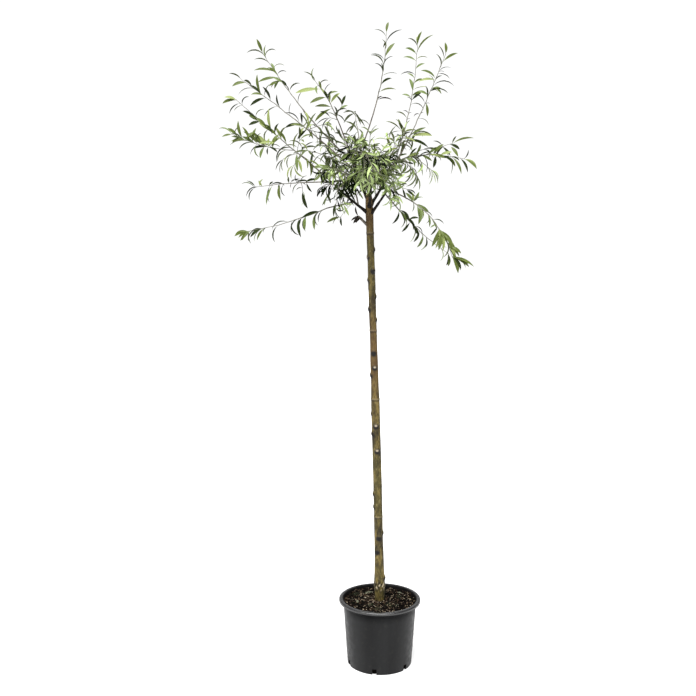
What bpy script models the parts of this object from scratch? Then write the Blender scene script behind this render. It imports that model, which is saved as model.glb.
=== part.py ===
"""Weeping pear trained as a standard in a nursery pot, in metres with +Z up.

The origin is the centre of the pot's flat underside. +X is to the right and +Y to the back, seen from
the front. A place in the crown is given by its bearing in degrees round the crown's axis (0 at +X,
90 at +Y), its reach from that axis and its height above the ground.
"""

import math
import random
from collections import namedtuple

import bmesh
import bpy
import numpy as np
from mathutils import Matrix, Vector, noise

SEED = 20
GAP = 0.0003  # clear space between neighbouring solids
WELD = 0.000001
SOIL = 0.2160  # height of the compost round the trunk

# Pot
POT_HEIGHT = 0.2265
RIM_RADIUS = 0.1400
COLLAR_RADIUS = 0.1275
COLLAR_DEPTH = 0.0180
WALL_TOP_RADIUS = 0.1245
BASE_RADIUS = 0.1100
BASE_CORNER = 0.0030
WALL = 0.0030
FLOOR = 0.0040
POT_STEPS = 40
LIP_WIDTH = 0.0110  # rolled lip round the rim
LIP_DEPTH = 0.0065
LIP_ROUND = 0.0030
SLOT_WIDTH = 0.0140
SLOT_HEIGHT = 0.0190
SLOT_CUT = 0.0300  # length of the cut through the wall
SLOT_BEARINGS = [19 + 60 * n for n in range(6)]

# Compost, filled to a little under the rim and mounded towards the trunk
SOIL_EDGE = 0.2080
SOIL_FLAT = 0.0300
SOIL_RINGS = 4
SOIL_LUMP = 0.0025
SOIL_LUMPS_PER_METRE = 45.0

# Trunk: height above the compost, as a share of its length, and radius there
TRUNK_LENGTH = 1.3840
TRUNK_LEAN = -0.0410
LEAN_POWER = 1.25
TRUNK_GIRTH = (
    (-0.010, 0.0160), (0.010, 0.0164), (0.035, 0.0184), (0.055, 0.0186), (0.075, 0.0166),
    (0.150, 0.0150), (0.300, 0.0147), (0.490, 0.0147), (0.550, 0.0132), (0.620, 0.0124),
    (0.900, 0.0121), (0.955, 0.0130), (0.985, 0.0116), (1.000, 0.0080),
)
TRUNK_POINTS = 24
KNOT_HEIGHTS = (
    0.307, 0.399, 0.455, 0.545, 0.620, 0.746, 0.800, 0.829, 0.917, 1.000,
    1.027, 1.084, 1.150, 1.190, 1.223, 1.262, 1.318, 1.347, 1.391, 1.416,
)
KNOT_FIRST_TURN = 20.0
KNOT_TURN = 155.0
KNOT_RADIUS = 0.0050
KNOT_PROUD = 0.0012
KNOT_SEGMENTS = 6
KNOT_RINGS = 4

# Crown
CROWN_X = -0.0380
LIMB_POINTS = 4
STEM_POINTS = 4
STUB = 0.0040  # straight end of a limb or stem, so that the faces across a gap are parallel
BOUGH_SAG = 0.0040  # how far a bough's middle lies under the straight line between its ends
END_BEND = 0.3  # how long a bough's own direction shows in the leafy stem beyond it
BOUGH_RADII = (0.0046, 0.0034)
LIMB_RADII = (0.0026, 0.0018)
STEM_TIP_RADIUS = 0.0008
TWIG_RADII = (0.0013, 0.0008)
END_GIRTH = 0.8  # first radius of a leafy end, as a share of its bough's last
LEAF_LENGTH = 0.0580
LEAF_WIDTH = 0.0115
LEAF_THICKNESS = 0.0011
LEAF_ARCH = 0.09  # rise of a leaf's middle, as a share of its length
LEAF_OUTLINE = ((0.30, 0.40), (0.50, 0.55), (0.75, 0.35), (1.0, 0.10))  # places along, half widths there
LEAF_SIZES = (0.85, 1.12)
LEAF_SINK = 0.0012  # how far a leaf's root goes past its twig's middle line
LEAF_GAP = 0.0215  # from one leaf to the next along a stem
LEAF_GAPS = (0.85, 1.15)
LEAF_CLEAR = 0.0040  # least distance between the middle lines of two leaves, away from their roots
LEAF_TURN = 144.0
LEAF_ROLL = 75.0
LEAF_SPREAD = 42.0
LEAF_DROOP = (0.35, 0.75)  # shares of a shoot's droop that pull its leaves down
END_LEAF_SPREAD = 8.0
END_LEAF_SIZE = 0.95
END_LEAF_SINK = 0.0020
LEAFY_END = 0.95  # stretch past a stem's end that its last leaf fills, in leaf lengths
SPREADS = (0.8, 1.2)
RETRY_TURN = (40.0, 100.0)
TRIES = 24

# Primary boughs: height where each leaves the trunk, and the place of its tip
Bough = namedtuple("Bough", "name base tip")
BOUGHS = (
    Bough("bough_left_high", 1.568, (161, 0.066, 1.715)),
    Bough("bough_left_low", 1.533, (195, 0.114, 1.620)),
    Bough("bough_right_high", 1.555, (15, 0.079, 1.682)),
    Bough("bough_front", 1.548, (272, 0.100, 1.655)),
    Bough("bough_back", 1.560, (95, 0.110, 1.690)),
    Bough("bough_right_low", 1.528, (325, 0.071, 1.612)),
)

# Shoots. A shoot leaves its bough at a share of the bough's length, runs bare to the place "bare"
# and then carries leaves to the place "tip". Leaves hang more as droop grows. A fork is a long
# side twig: where it leaves the leafy stem, how far its middle rises, and the place of its own tip.
Shoot = namedtuple("Shoot", "name bough along bare tip droop twigs forks")
SHOOTS = (
    Shoot("tall_middle", "bough_left_high", 0.82, (51, 0.038, 1.902), (39, 0.079, 2.158), 0.1, 0, ()),
    Shoot("tall_right", "bough_right_high", 0.86, (27, 0.105, 1.735), (34, 0.212, 2.142), 0.1, 2, ()),
    Shoot("right_high", "bough_right_high", 0.62, (4, 0.125, 1.771), (357, 0.242, 2.080), 0.3, 2, ()),
    Shoot("tall_left", "bough_left_high", 0.93, (158, 0.242, 1.885), (157, 0.413, 2.124), 0.2, 1, ()),
    Shoot("upper_left", "bough_left_high", 0.56, (206, 0.114, 1.824), (214, 0.215, 1.981), 0.3, 3, ()),
    Shoot("left_high", "bough_left_high", 0.70, (176, 0.202, 1.804), (177, 0.460, 1.985), 0.5, 2, ()),
    Shoot("left_middle", "bough_left_low", 0.78, (188, 0.228, 1.719), (190, 0.478, 1.878), 0.6, 1,
          ((0.10, -0.016, (196, 0.499, 1.793)),)),
    Shoot("left_level", "bough_left_high", 0.50, (166, 0.216, 1.638), (167, 0.447, 1.636), 1.6, 1,
          ((0.10, 0.012, (164, 0.215, 1.550)),)),
    Shoot("left_low", "bough_left_low", 0.46, (196, 0.145, 1.549), (196, 0.447, 1.466), 2.0, 2, ()),
    Shoot("right_arching", "bough_right_high", 0.50, (335, 0.152, 1.567), (336, 0.343, 1.358), 1.6, 2, ()),
    Shoot("right_low", "bough_right_low", 0.82, (351, 0.097, 1.544), (356, 0.263, 1.359), 1.8, 2, ()),
    Shoot("front_middle", "bough_front", 0.74, (262, 0.185, 1.705), (274, 0.400, 1.594), 1.0, 1, ()),
    Shoot("front_left", "bough_front", 0.55, (240, 0.165, 1.655), (246, 0.375, 1.622), 1.0, 1, ()),
    Shoot("back_right", "bough_back", 0.50, (60, 0.161, 1.745), (56, 0.350, 1.850), 0.5, 1, ()),
    Shoot("back_middle", "bough_back", 0.62, (101, 0.170, 1.795), (97, 0.390, 1.930), 0.5, 1, ()),
    Shoot("back_left", "bough_back", 0.78, (127, 0.187, 1.721), (127, 0.403, 1.774), 0.8, 1, ()),
    Shoot("heart_top", "bough_left_high", 0.40, (220, 0.014, 1.690), (270, 0.040, 1.842), 0.5, 7, ()),
    Shoot("heart_front_left", "bough_left_low", 0.32, (222, 0.090, 1.636), (224, 0.225, 1.665), 1.2, 7, ()),
    Shoot("heart_back_right", "bough_right_high", 0.40, (50, 0.105, 1.690), (50, 0.215, 1.735), 0.7, 6, ()),
    Shoot("heart_back_left", "bough_back", 0.45, (140, 0.115, 1.670), (145, 0.245, 1.700), 0.8, 6, ()),
)

# Leafy ends of the primary boughs, most of them in the dense middle of the crown
BOUGH_ENDS = (
    Shoot("heart_left_high", "bough_left_high", 1.0, None, (128, 0.170, 1.830), 0.5, 7, ()),
    Shoot("heart_left_low", "bough_left_low", 1.0, None, (209, 0.210, 1.590), 1.2, 7, ()),
    Shoot("right_level", "bough_right_high", 1.0, None, (9, 0.365, 1.680), 1.3, 3,
          ((0.42, 0.012, (22, 0.382, 1.789)),)),
    Shoot("heart_front", "bough_front", 1.0, None, (286, 0.215, 1.635), 0.7, 7, ()),
    Shoot("heart_back", "bough_back", 1.0, None, (84, 0.240, 1.700), 0.8, 6, ()),
    Shoot("heart_right_low", "bough_right_low", 1.0, None, (311, 0.165, 1.630), 1.0, 7, ()),
)

# Small spray low on the left of the trunk
STUB_HEIGHT = 1.488
STUB_TIP = (186, 0.048, 1.512)
STUB_LEAF = 0.6
STUB_FIRST_LEAF = 0.0250

# Twigs: spread evenly along a dense stem, and near the foot of a long shoot
FIRST_LEAF = 0.0160
TWIG_FIRST_LEAF = 0.0194
HEART_TWIG = 0.090
HEART_TWIG_STRETCH = (0.12, 0.84)
SHOOT_TWIG = 0.070
SHOOT_TWIG_FIRST = 0.05
SHOOT_TWIG_STEP = 0.09
TWIG_SPREAD = 50.0
TWIG_SPREADS = (0.8, 1.3)
TWIG_LENGTHS = (0.8, 1.2)
TWIG_SAG = 0.30  # drop of a twig's tip over its length, at a droop of 1 or more
TWIG_MIDDLE_SAG = 0.2
TWIG_TURN = 137.5
TWIG_SHRINK = 0.95
FORK_STEPS = 3

TRUNK_SIDES_LEVEL = 5
BOUGH_SIDES_LEVEL = 2
LIMB_SIDES_LEVEL = 1

CHARCOAL = (0.035, 0.037, 0.038)
COMPOST_BROWN = (0.055, 0.036, 0.024)
BARK = (0.165, 0.120, 0.062)
BOUGH_BARK = (0.075, 0.052, 0.036)
STEM_BARK = (0.300, 0.285, 0.230)
LEAF_GREENS = ((0.30, 0.36, 0.24), (0.20, 0.27, 0.13), (0.27, 0.38, 0.12))


def clear_scene():
    for obj in list(bpy.data.objects):
        bpy.data.objects.remove(obj)


def new_collection(name):
    collection = bpy.data.collections.new(name)
    bpy.context.scene.collection.children.link(collection)
    return collection


def new_object(name, data, collection):
    obj = bpy.data.objects.new(name, data)
    collection.objects.link(obj)
    return obj


def plain_material(name, colour, roughness):
    material = bpy.data.materials.new(name)
    material.use_nodes = True
    shader = material.node_tree.nodes["Principled BSDF"]
    shader.inputs["Base Color"].default_value = (*colour, 1.0)
    shader.inputs["Roughness"].default_value = roughness
    shader.inputs["Metallic"].default_value = 0.0
    return material


def evaluated_mesh(obj):
    depsgraph = bpy.context.evaluated_depsgraph_get()
    depsgraph.update()
    return bpy.data.meshes.new_from_object(obj.evaluated_get(depsgraph))


def edit_mesh(mesh, change):
    """Runs one change on a mesh through bmesh and leaves its faces pointing outwards."""
    shape = bmesh.new()
    shape.from_mesh(mesh)
    change(shape)
    bmesh.ops.recalc_face_normals(shape, faces=shape.faces)
    shape.to_mesh(mesh)
    shape.free()


def weld(shape):
    bmesh.ops.remove_doubles(shape, verts=shape.verts, dist=WELD)


def keep_largest(shape):
    """Deletes every loose piece of a shape except the one with the most faces."""
    pieces = []
    left = set(shape.faces)
    while left:
        piece = {left.pop()}
        edge_of_piece = list(piece)
        while edge_of_piece:
            face = edge_of_piece.pop()
            near = {other for edge in face.edges for other in edge.link_faces} & left
            left -= near
            piece |= near
            edge_of_piece.extend(near)
        pieces.append(piece)
    pieces.sort(key=len)
    scraps = [face for piece in pieces[:-1] for face in piece]
    bmesh.ops.delete(shape, geom=scraps, context="FACES")


def apply_boolean(obj, operation, cutter=None, collection=None):
    """Applies one Boolean to an object, with a single cutter or with all the objects of a collection."""
    modifier = obj.modifiers.new("boolean", "BOOLEAN")
    modifier.operation = operation
    modifier.solver = "EXACT"
    if collection:
        modifier.operand_type = "COLLECTION"
        modifier.collection = collection
    else:
        modifier.object = cutter
    mesh = evaluated_mesh(obj)
    obj.modifiers.remove(modifier)
    edit_mesh(mesh, keep_largest)
    obj.data = mesh


def shade(obj, material, angle=35.0):
    obj.data.materials.clear()
    obj.data.materials.append(material)
    obj.data.shade_smooth()
    obj.data.set_sharp_from_angle(angle=math.radians(angle))


def turned(name, profile, collection):
    """A solid turned round the Z axis from a profile in the XZ plane that starts and ends on the axis."""
    shape = bmesh.new()
    points = [shape.verts.new((radius, 0.0, height)) for radius, height in profile]
    for first, second in zip(points, points[1:]):
        shape.edges.new((first, second))
    mesh = bpy.data.meshes.new(name)
    shape.to_mesh(mesh)
    shape.free()
    obj = new_object(name, mesh, collection)
    screw = obj.modifiers.new("turn", "SCREW")
    screw.axis = "Z"
    screw.steps = POT_STEPS
    screw.render_steps = POT_STEPS
    screw.use_merge_vertices = True
    screw.merge_threshold = WELD
    obj.data = evaluated_mesh(obj)
    obj.modifiers.remove(screw)
    edit_mesh(obj.data, weld)
    return obj


def three_sided_section(collection):
    """Unit triangle that a curve is drawn out along, so that a point's radius is in metres."""
    curve = bpy.data.curves.new("twig_section", "CURVE")
    spline = curve.splines.new("POLY")
    spline.points.add(2)
    for point, turn in zip(spline.points, (0, 120, 240)):
        point.co = (math.cos(math.radians(turn)), math.sin(math.radians(turn)), 0.0, 1.0)
    spline.use_cyclic_u = True
    section = new_object("twig_section", curve, collection)
    section.hide_render = True
    section.display_type = "WIRE"
    return section


def tube(name, points, radii, collection, level=0, section=None):
    """A round or three-sided tube along points with a radius at each, as one closed mesh."""
    curve = bpy.data.curves.new(name, "CURVE")
    curve.dimensions = "3D"
    curve.use_fill_caps = True
    if section:
        curve.bevel_mode = "OBJECT"
        curve.bevel_object = section
    else:
        curve.bevel_depth = 1.0
        curve.bevel_resolution = level
    spline = curve.splines.new("POLY")
    spline.points.add(len(points) - 1)
    for spline_point, point, radius in zip(spline.points, points, radii):
        spline_point.co = (*point, 1.0)
        spline_point.radius = radius
    curve_object = new_object(name + "_curve", curve, collection)
    mesh = evaluated_mesh(curve_object)
    place = curve_object.matrix_world.copy()
    bpy.data.objects.remove(curve_object)
    edit_mesh(mesh, weld)
    obj = new_object(name, mesh, collection)
    obj.matrix_world = place
    return obj


def crown_point(place):
    bearing, reach, height = place
    turn = math.radians(bearing)
    return Vector((CROWN_X + reach * math.cos(turn), reach * math.sin(turn), height))


def between(table, place):
    """Reads a table of (place, value) pairs by straight lines between its rows."""
    return float(np.interp(place, [row[0] for row in table], [row[1] for row in table]))


def trunk_point(share):
    lean = TRUNK_LEAN * max(share, 0.0) ** LEAN_POWER
    return Vector((lean, 0.0, SOIL + share * TRUNK_LENGTH))


class Arc:
    """Quadratic curve from start through a middle place to its end, read by a share of its length."""

    def __init__(self, start, middle, end):
        first = (middle - start).length
        second = (end - middle).length
        share = first / (first + second)
        self.middle_share = share
        self.start = start
        self.end = end
        self.control = (middle - start * (1 - share) ** 2 - end * share**2) / (2 * share * (1 - share))

    def at(self, share):
        rest = 1 - share
        return self.start * rest**2 + self.control * (2 * rest * share) + self.end * share**2

    def tangent(self, share):
        return ((self.control - self.start) * (1 - share) + (self.end - self.control) * share).normalized()

    def stretch(self, low, high, count):
        """Points from one share to another, with a short straight stub at both ends."""
        inner = [self.at(low + (high - low) * n / count) for n in range(1, count)]
        first = self.at(low)
        last = self.at(high)
        return [first, first + self.tangent(low) * STUB, *inner, last - self.tangent(high) * STUB, last]


class Limb:
    """A trunk, bough or bare stem: its middle line, its radii and the arc that it follows."""

    def __init__(self, name, points, radii, level, arc=None):
        self.name = name
        self.points = points
        self.radii = radii
        self.level = level
        self.arc = arc

    def solid(self, collection):
        return tube(self.name, self.points, self.radii, collection, self.level)

    def clearance(self, collection):
        """The limb grown by the gap on all sides, to cut what meets it."""
        first = self.points[0] + (self.points[0] - self.points[1]).normalized() * GAP
        last = self.points[-1] + (self.points[-1] - self.points[-2]).normalized() * GAP
        points = [first, *self.points[1:-1], last]
        radii = [radius + GAP for radius in self.radii]
        cutter = tube(self.name + "_clearance", points, radii, collection, self.level)
        cutter.hide_render = True
        cutter.display_type = "WIRE"
        return cutter


def tapered(points, radii):
    """A radius for each point, from the first of two radii to the second along the line's length."""
    steps = [0.0]
    for first, second in zip(points, points[1:]):
        steps.append(steps[-1] + (second - first).length)
    return [radii[0] + (radii[1] - radii[0]) * step / steps[-1] for step in steps]


def segment_distances(places, starts, ends):
    """Distance of each place from each straight segment, one row for each place."""
    run = ends - starts
    offset = places[:, None, :] - starts[None, :, :]
    share = np.clip((offset * run).sum(axis=2) / (run * run).sum(axis=1), 0.0, 1.0)
    return np.linalg.norm(offset - share[..., None] * run, axis=2)


class Spaces:
    """Shares the crown out: a place belongs to the mass whose stem is nearest, clear of every limb."""

    def __init__(self, stems, limbs):
        self.owners = np.array([name for name, lines in stems.items() for line in lines for _ in line[1:]])
        lines = [line for lines in stems.values() for line in lines]
        self.starts = np.array([point for line in lines for point in line[:-1]])
        self.ends = np.array([point for line in lines for point in line[1:]])
        self.limb_starts = np.array([point for limb in limbs for point in limb.points[:-1]])
        self.limb_ends = np.array([point for limb in limbs for point in limb.points[1:]])
        self.limb_radii = np.array([radius for limb in limbs for radius in limb.radii[:-1]])

    def holds(self, name, places, margin):
        """Whether all the places, each with its own margin round it, are in the space of one mass."""
        places = np.array(places)
        mine = self.owners == name
        distance = segment_distances(places, self.starts, self.ends)
        own = distance[:, mine].min(axis=1)
        other = distance[:, ~mine].min(axis=1)
        limb = segment_distances(places, self.limb_starts, self.limb_ends) - self.limb_radii
        return bool((own + 2 * margin < other).all() and (limb.min(axis=1) > margin).all())


def side_of(direction, turn):
    """A unit vector square to a direction, turned round it by an angle in degrees."""
    across = direction.orthogonal().normalized()
    return Matrix.Rotation(math.radians(turn), 3, direction) @ across


def upward_from(direction):
    """The unit vector square to a direction that points most nearly upwards."""
    level = Vector((0.0, 0.0, 1.0)).cross(direction)
    if level.length < 0.1:
        return side_of(direction, 0.0)
    return direction.cross(level).normalized()


def leaf_solid(collection, root, direction, normal, length, width):
    """A lance-shaped blade with a keel, arched upwards, from its root along a direction."""
    mesh = bpy.data.meshes.new("leaf")
    shape = bmesh.new()
    bmesh.ops.create_uvsphere(shape, u_segments=3, v_segments=2, radius=0.5)
    shape.transform(Matrix.Rotation(math.radians(-90), 4, "Z"))
    for vertex in shape.verts:
        arch = LEAF_ARCH * length * (1.0 - 2.0 * abs(vertex.co.z))
        across = vertex.co.x * width
        along = (vertex.co.z + 0.5) * length
        proud = vertex.co.y * LEAF_THICKNESS + arch
        vertex.co = (across, proud, along)
    side = normal.cross(direction).normalized()
    up = direction.cross(side)
    frame = Matrix((side, up, direction)).transposed().to_4x4()
    shape.transform(Matrix.Translation(root) @ frame)
    bmesh.ops.recalc_face_normals(shape, faces=shape.faces)
    shape.to_mesh(mesh)
    shape.free()
    return new_object("leaf", mesh, collection)


class Mass:
    """One mass of foliage: a stem, its twigs and their leaves, all kept inside its own space."""

    def __init__(self, shoot, stem, radii, spaces, section, rng):
        self.shoot = shoot
        self.spaces = spaces
        self.section = section
        self.rng = rng
        self.parts = new_collection(shoot.name + "_parts")
        self.body = tube(shoot.name, stem, radii, MODEL, section=section)
        self.starts = list(stem[:-1])
        self.ends = list(stem[1:])

    def fits(self, places, margins):
        """Whether places are in the mass's own space and clear of the twigs and leaves it has."""
        if not self.spaces.holds(self.shoot.name, places, np.array(margins)):
            return False
        distance = segment_distances(np.array(places), np.array(self.starts), np.array(self.ends))
        return distance.min() > LEAF_CLEAR

    def keep_clear_of(self, line):
        self.starts.extend(line[:-1])
        self.ends.extend(line[1:])

    def add_leaf(self, root, tangent, turn, spread, size):
        """Adds a leaf where it fits, turning it a little further after each try."""
        length = LEAF_LENGTH * size
        for _ in range(TRIES):
            lean = math.radians(spread * self.rng.uniform(*SPREADS))
            direction = tangent * math.cos(lean) + side_of(tangent, turn) * math.sin(lean)
            direction.z -= self.shoot.droop * self.rng.uniform(*LEAF_DROOP)
            direction.normalize()
            roll = Matrix.Rotation(math.radians(self.rng.uniform(-LEAF_ROLL, LEAF_ROLL)), 3, direction)
            places = [root + direction * (length * share) for share, _ in LEAF_OUTLINE]
            if self.fits(places, [GAP + size * LEAF_WIDTH * half for _, half in LEAF_OUTLINE]):
                normal = roll @ upward_from(direction)
                sunk = root - direction * LEAF_SINK
                leaf_solid(self.parts, sunk, direction, normal, length, LEAF_WIDTH * size)
                self.keep_clear_of([root, places[-1]])
                return
            turn += self.rng.uniform(*RETRY_TURN)

    def add_leaves(self, line, first, scale=1.0):
        """Sets leaves along a line of points by a fixed turn, and one at its end."""
        lengths = [(b - a).length for a, b in zip(line, line[1:])]
        total = sum(lengths)
        turn = self.rng.uniform(0, 360)
        place = first
        while place < total - LEAF_GAP / 2:
            walked = 0.0
            for start, end, length in zip(line, line[1:], lengths):
                if walked + length >= place:
                    break
                walked += length
            root = start + (end - start) * ((place - walked) / length)
            size = self.rng.uniform(*LEAF_SIZES) * scale
            self.add_leaf(root, (end - start).normalized(), turn, LEAF_SPREAD, size)
            turn += LEAF_TURN
            place += LEAF_GAP * self.rng.uniform(*LEAF_GAPS)
        tangent = (line[-1] - line[-2]).normalized()
        root = line[-1] - tangent * END_LEAF_SINK
        self.add_leaf(root, tangent, turn, END_LEAF_SPREAD, END_LEAF_SIZE * scale)

    def add_twig(self, root, tangent, turn, length):
        """Adds a twig that bends under its own weight, where it fits, and its leaves."""
        for _ in range(TRIES):
            lean = math.radians(TWIG_SPREAD * self.rng.uniform(*TWIG_SPREADS))
            direction = tangent * math.cos(lean) + side_of(tangent, turn) * math.sin(lean)
            sag = Vector((0.0, 0.0, -min(self.shoot.droop, 1.0) * TWIG_SAG * length))
            middle = root + direction * (length / 2) + sag * TWIG_MIDDLE_SAG
            line = [root, middle, root + direction * length + sag]
            places = [line[0].lerp(line[1], 0.5), line[1], line[1].lerp(line[2], 0.5), line[2]]
            if self.fits(places, [LEAF_CLEAR] * len(places)):
                tube("twig", line, tapered(line, TWIG_RADII), self.parts, section=self.section)
                self.keep_clear_of(line)
                self.add_leaves(line, TWIG_FIRST_LEAF)
                return
            turn += self.rng.uniform(*RETRY_TURN)
            length *= TWIG_SHRINK

    def add_fork(self, line):
        tube("fork", line, tapered(line, TWIG_RADII), self.parts, section=self.section)
        self.keep_clear_of(line)
        self.add_leaves(line, LEAF_GAP)

    def join(self, material):
        apply_boolean(self.body, "UNION", collection=self.parts)
        for part in list(self.parts.objects):
            bpy.data.objects.remove(part)
        bpy.data.collections.remove(self.parts)
        shade(self.body, material)


def leafy_line(arc, low):
    """The stem's points from a share of its arc to a leaf's length short of its end."""
    tail = LEAF_LENGTH * LEAFY_END / (arc.end - arc.at(low)).length
    high = 1.0 - tail * (1.0 - low)
    points = arc.stretch(low, high, STEM_POINTS)
    points[0] = points[0] + arc.tangent(low) * GAP
    return points


def fork_line(stem_arc, low, share, rise, tip):
    """A long side twig's points, from a place on the stem to a leaf's length short of its own tip."""
    start = stem_arc.at(low + (1.0 - low) * share)
    middle = start.lerp(tip, 0.5) + Vector((0.0, 0.0, rise))
    arc = Arc(start, middle, tip)
    high = 1.0 - LEAF_LENGTH * LEAFY_END / (tip - start).length
    return [arc.at(high * n / FORK_STEPS) for n in range(FORK_STEPS + 1)]


def make_pot():
    """Thin-walled pot with a rolled lip, a collar under it and slots round its foot."""
    collar = POT_HEIGHT - COLLAR_DEPTH
    lip = POT_HEIGHT - LIP_DEPTH
    profile = [
        (0.0, FLOOR),
        (BASE_RADIUS - WALL, FLOOR),
        (WALL_TOP_RADIUS - WALL, collar),
        (RIM_RADIUS - LIP_WIDTH, POT_HEIGHT - LIP_ROUND),
        (RIM_RADIUS - LIP_WIDTH + LIP_ROUND, POT_HEIGHT),
        (RIM_RADIUS - LIP_ROUND, POT_HEIGHT),
        (RIM_RADIUS, POT_HEIGHT - LIP_ROUND),
        (RIM_RADIUS, lip),
        (COLLAR_RADIUS + LIP_ROUND, lip - LIP_ROUND / 2),
        (COLLAR_RADIUS, collar),
        (WALL_TOP_RADIUS, collar - WALL),
        (BASE_RADIUS, BASE_CORNER),
        (BASE_RADIUS - BASE_CORNER, 0.0),
        (0.0, 0.0),
    ]
    pot = turned("pot", profile, MODEL)
    for bearing in SLOT_BEARINGS:
        turn = math.radians(bearing)
        bpy.ops.mesh.primitive_cube_add(size=1.0)
        slot = bpy.context.object
        slot.scale = (SLOT_CUT, SLOT_WIDTH, 2 * SLOT_HEIGHT)
        slot.location = (BASE_RADIUS * math.cos(turn), BASE_RADIUS * math.sin(turn), 0.0)
        slot.rotation_euler = (0.0, 0.0, turn)
        apply_boolean(pot, "DIFFERENCE", cutter=slot)
        bpy.data.objects.remove(slot)
    shade(pot, plain_material("charcoal_plastic", CHARCOAL, 0.5))


def make_compost():
    """The pot's fill, a gap clear of the wall and the floor, with a lumpy top round a flat middle."""
    slope = (WALL_TOP_RADIUS - BASE_RADIUS) / (POT_HEIGHT - COLLAR_DEPTH - FLOOR)
    bottom = FLOOR + GAP
    base = BASE_RADIUS - WALL - 2 * GAP
    edge = base + slope * (SOIL_EDGE - bottom)
    profile = [(0.0, SOIL), (SOIL_FLAT, SOIL)]
    for n in range(1, SOIL_RINGS + 1):
        share = n / SOIL_RINGS
        profile.append((SOIL_FLAT + (edge - SOIL_FLAT) * share, SOIL + (SOIL_EDGE - SOIL) * share**2))
    profile += [(base, bottom), (0.0, bottom)]
    compost = turned("compost", profile, MODEL)
    for vertex in compost.data.vertices:
        reach = math.hypot(vertex.co.x, vertex.co.y)
        if vertex.co.z > SOIL_EDGE + GAP and reach > SOIL_FLAT + GAP:
            vertex.co.z += SOIL_LUMP * noise.noise(vertex.co * SOIL_LUMPS_PER_METRE)
    shade(compost, plain_material("bark_compost", COMPOST_BROWN, 0.95))


def make_trunk(limb):
    """The stem from a flat cut just over the compost to the fork, with a knot where each old twig was."""
    trunk = limb.solid(MODEL)
    depth = RIM_RADIUS / 2
    bpy.ops.mesh.primitive_cube_add(size=depth, location=(0.0, 0.0, SOIL + GAP - depth / 2))
    ground = bpy.context.object
    apply_boolean(trunk, "DIFFERENCE", cutter=ground)
    bpy.data.objects.remove(ground)
    knots = new_collection("trunk_knots")
    for n, height in enumerate(KNOT_HEIGHTS):
        share = (height - SOIL) / TRUNK_LENGTH
        turn = math.radians(KNOT_FIRST_TURN + KNOT_TURN * n)
        outward = Vector((math.cos(turn), math.sin(turn), 0.0))
        reach = between(TRUNK_GIRTH, share) - KNOT_RADIUS + KNOT_PROUD
        place = trunk_point(share) + outward * reach
        bpy.ops.mesh.primitive_uv_sphere_add(
            segments=KNOT_SEGMENTS, ring_count=KNOT_RINGS, radius=KNOT_RADIUS, location=place)
        knot = bpy.context.object
        for collection in list(knot.users_collection):
            collection.objects.unlink(knot)
        knots.objects.link(knot)
    apply_boolean(trunk, "UNION", collection=knots)
    for knot in list(knots.objects):
        bpy.data.objects.remove(knot)
    bpy.data.collections.remove(knots)
    shade(trunk, plain_material("trunk_bark", BARK, 0.85))


def trunk_limb():
    low = TRUNK_GIRTH[0][0]
    shares = [low + (1.0 - low) * n / TRUNK_POINTS for n in range(TRUNK_POINTS + 1)]
    points = [trunk_point(share) for share in shares]
    radii = [between(TRUNK_GIRTH, share) for share in shares]
    return Limb("trunk", points, radii, TRUNK_SIDES_LEVEL)


def bough_limbs():
    """The primary boughs, each from the trunk's middle line, rising first and then leaning out."""
    limbs = {}
    for bough in BOUGHS:
        start = trunk_point((bough.base - SOIL) / TRUNK_LENGTH)
        tip = crown_point(bough.tip)
        middle = start.lerp(tip, 0.5) - Vector((0.0, 0.0, BOUGH_SAG))
        arc = Arc(start, middle, tip)
        points = arc.stretch(0.0, 1.0, LIMB_POINTS)
        limbs[bough.name] = Limb(bough.name, points, tapered(points, BOUGH_RADII), BOUGH_SIDES_LEVEL, arc)
    return limbs


def shoot_limb(shoot, bough):
    """The bare lower stem of a shoot, from inside its bough to where its leaves begin."""
    arc = Arc(bough.arc.at(shoot.along), crown_point(shoot.bare), crown_point(shoot.tip))
    points = arc.stretch(0.0, arc.middle_share, LIMB_POINTS)
    return Limb("stem_" + shoot.name, points, tapered(points, LIMB_RADII), LIMB_SIDES_LEVEL, arc)


def bough_end_arc(shoot, bough):
    """A curve that leaves a bough's tip in the bough's own direction."""
    start = bough.arc.end
    tip = crown_point(shoot.tip)
    control = start + bough.arc.tangent(1.0) * ((tip - start).length * END_BEND)
    arc = Arc(start, start.lerp(tip, 0.5), tip)
    arc.control = control
    return arc


def near(first, second):
    """Whether two limbs come close enough for one to need cutting."""
    starts = np.array(second.points[:-1])
    ends = np.array(second.points[1:])
    distance = segment_distances(np.array(first.points), starts, ends)
    return distance.min() < max(first.radii) + max(second.radii) + STUB


def make_limb(limb, others, material):
    obj = limb.solid(MODEL)
    for other in others:
        if near(limb, other) or near(other, limb):
            cutter = other.clearance(CUTTERS)
            apply_boolean(obj, "DIFFERENCE", cutter=cutter)
            bpy.data.objects.remove(cutter)
    shade(obj, material)


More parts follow.
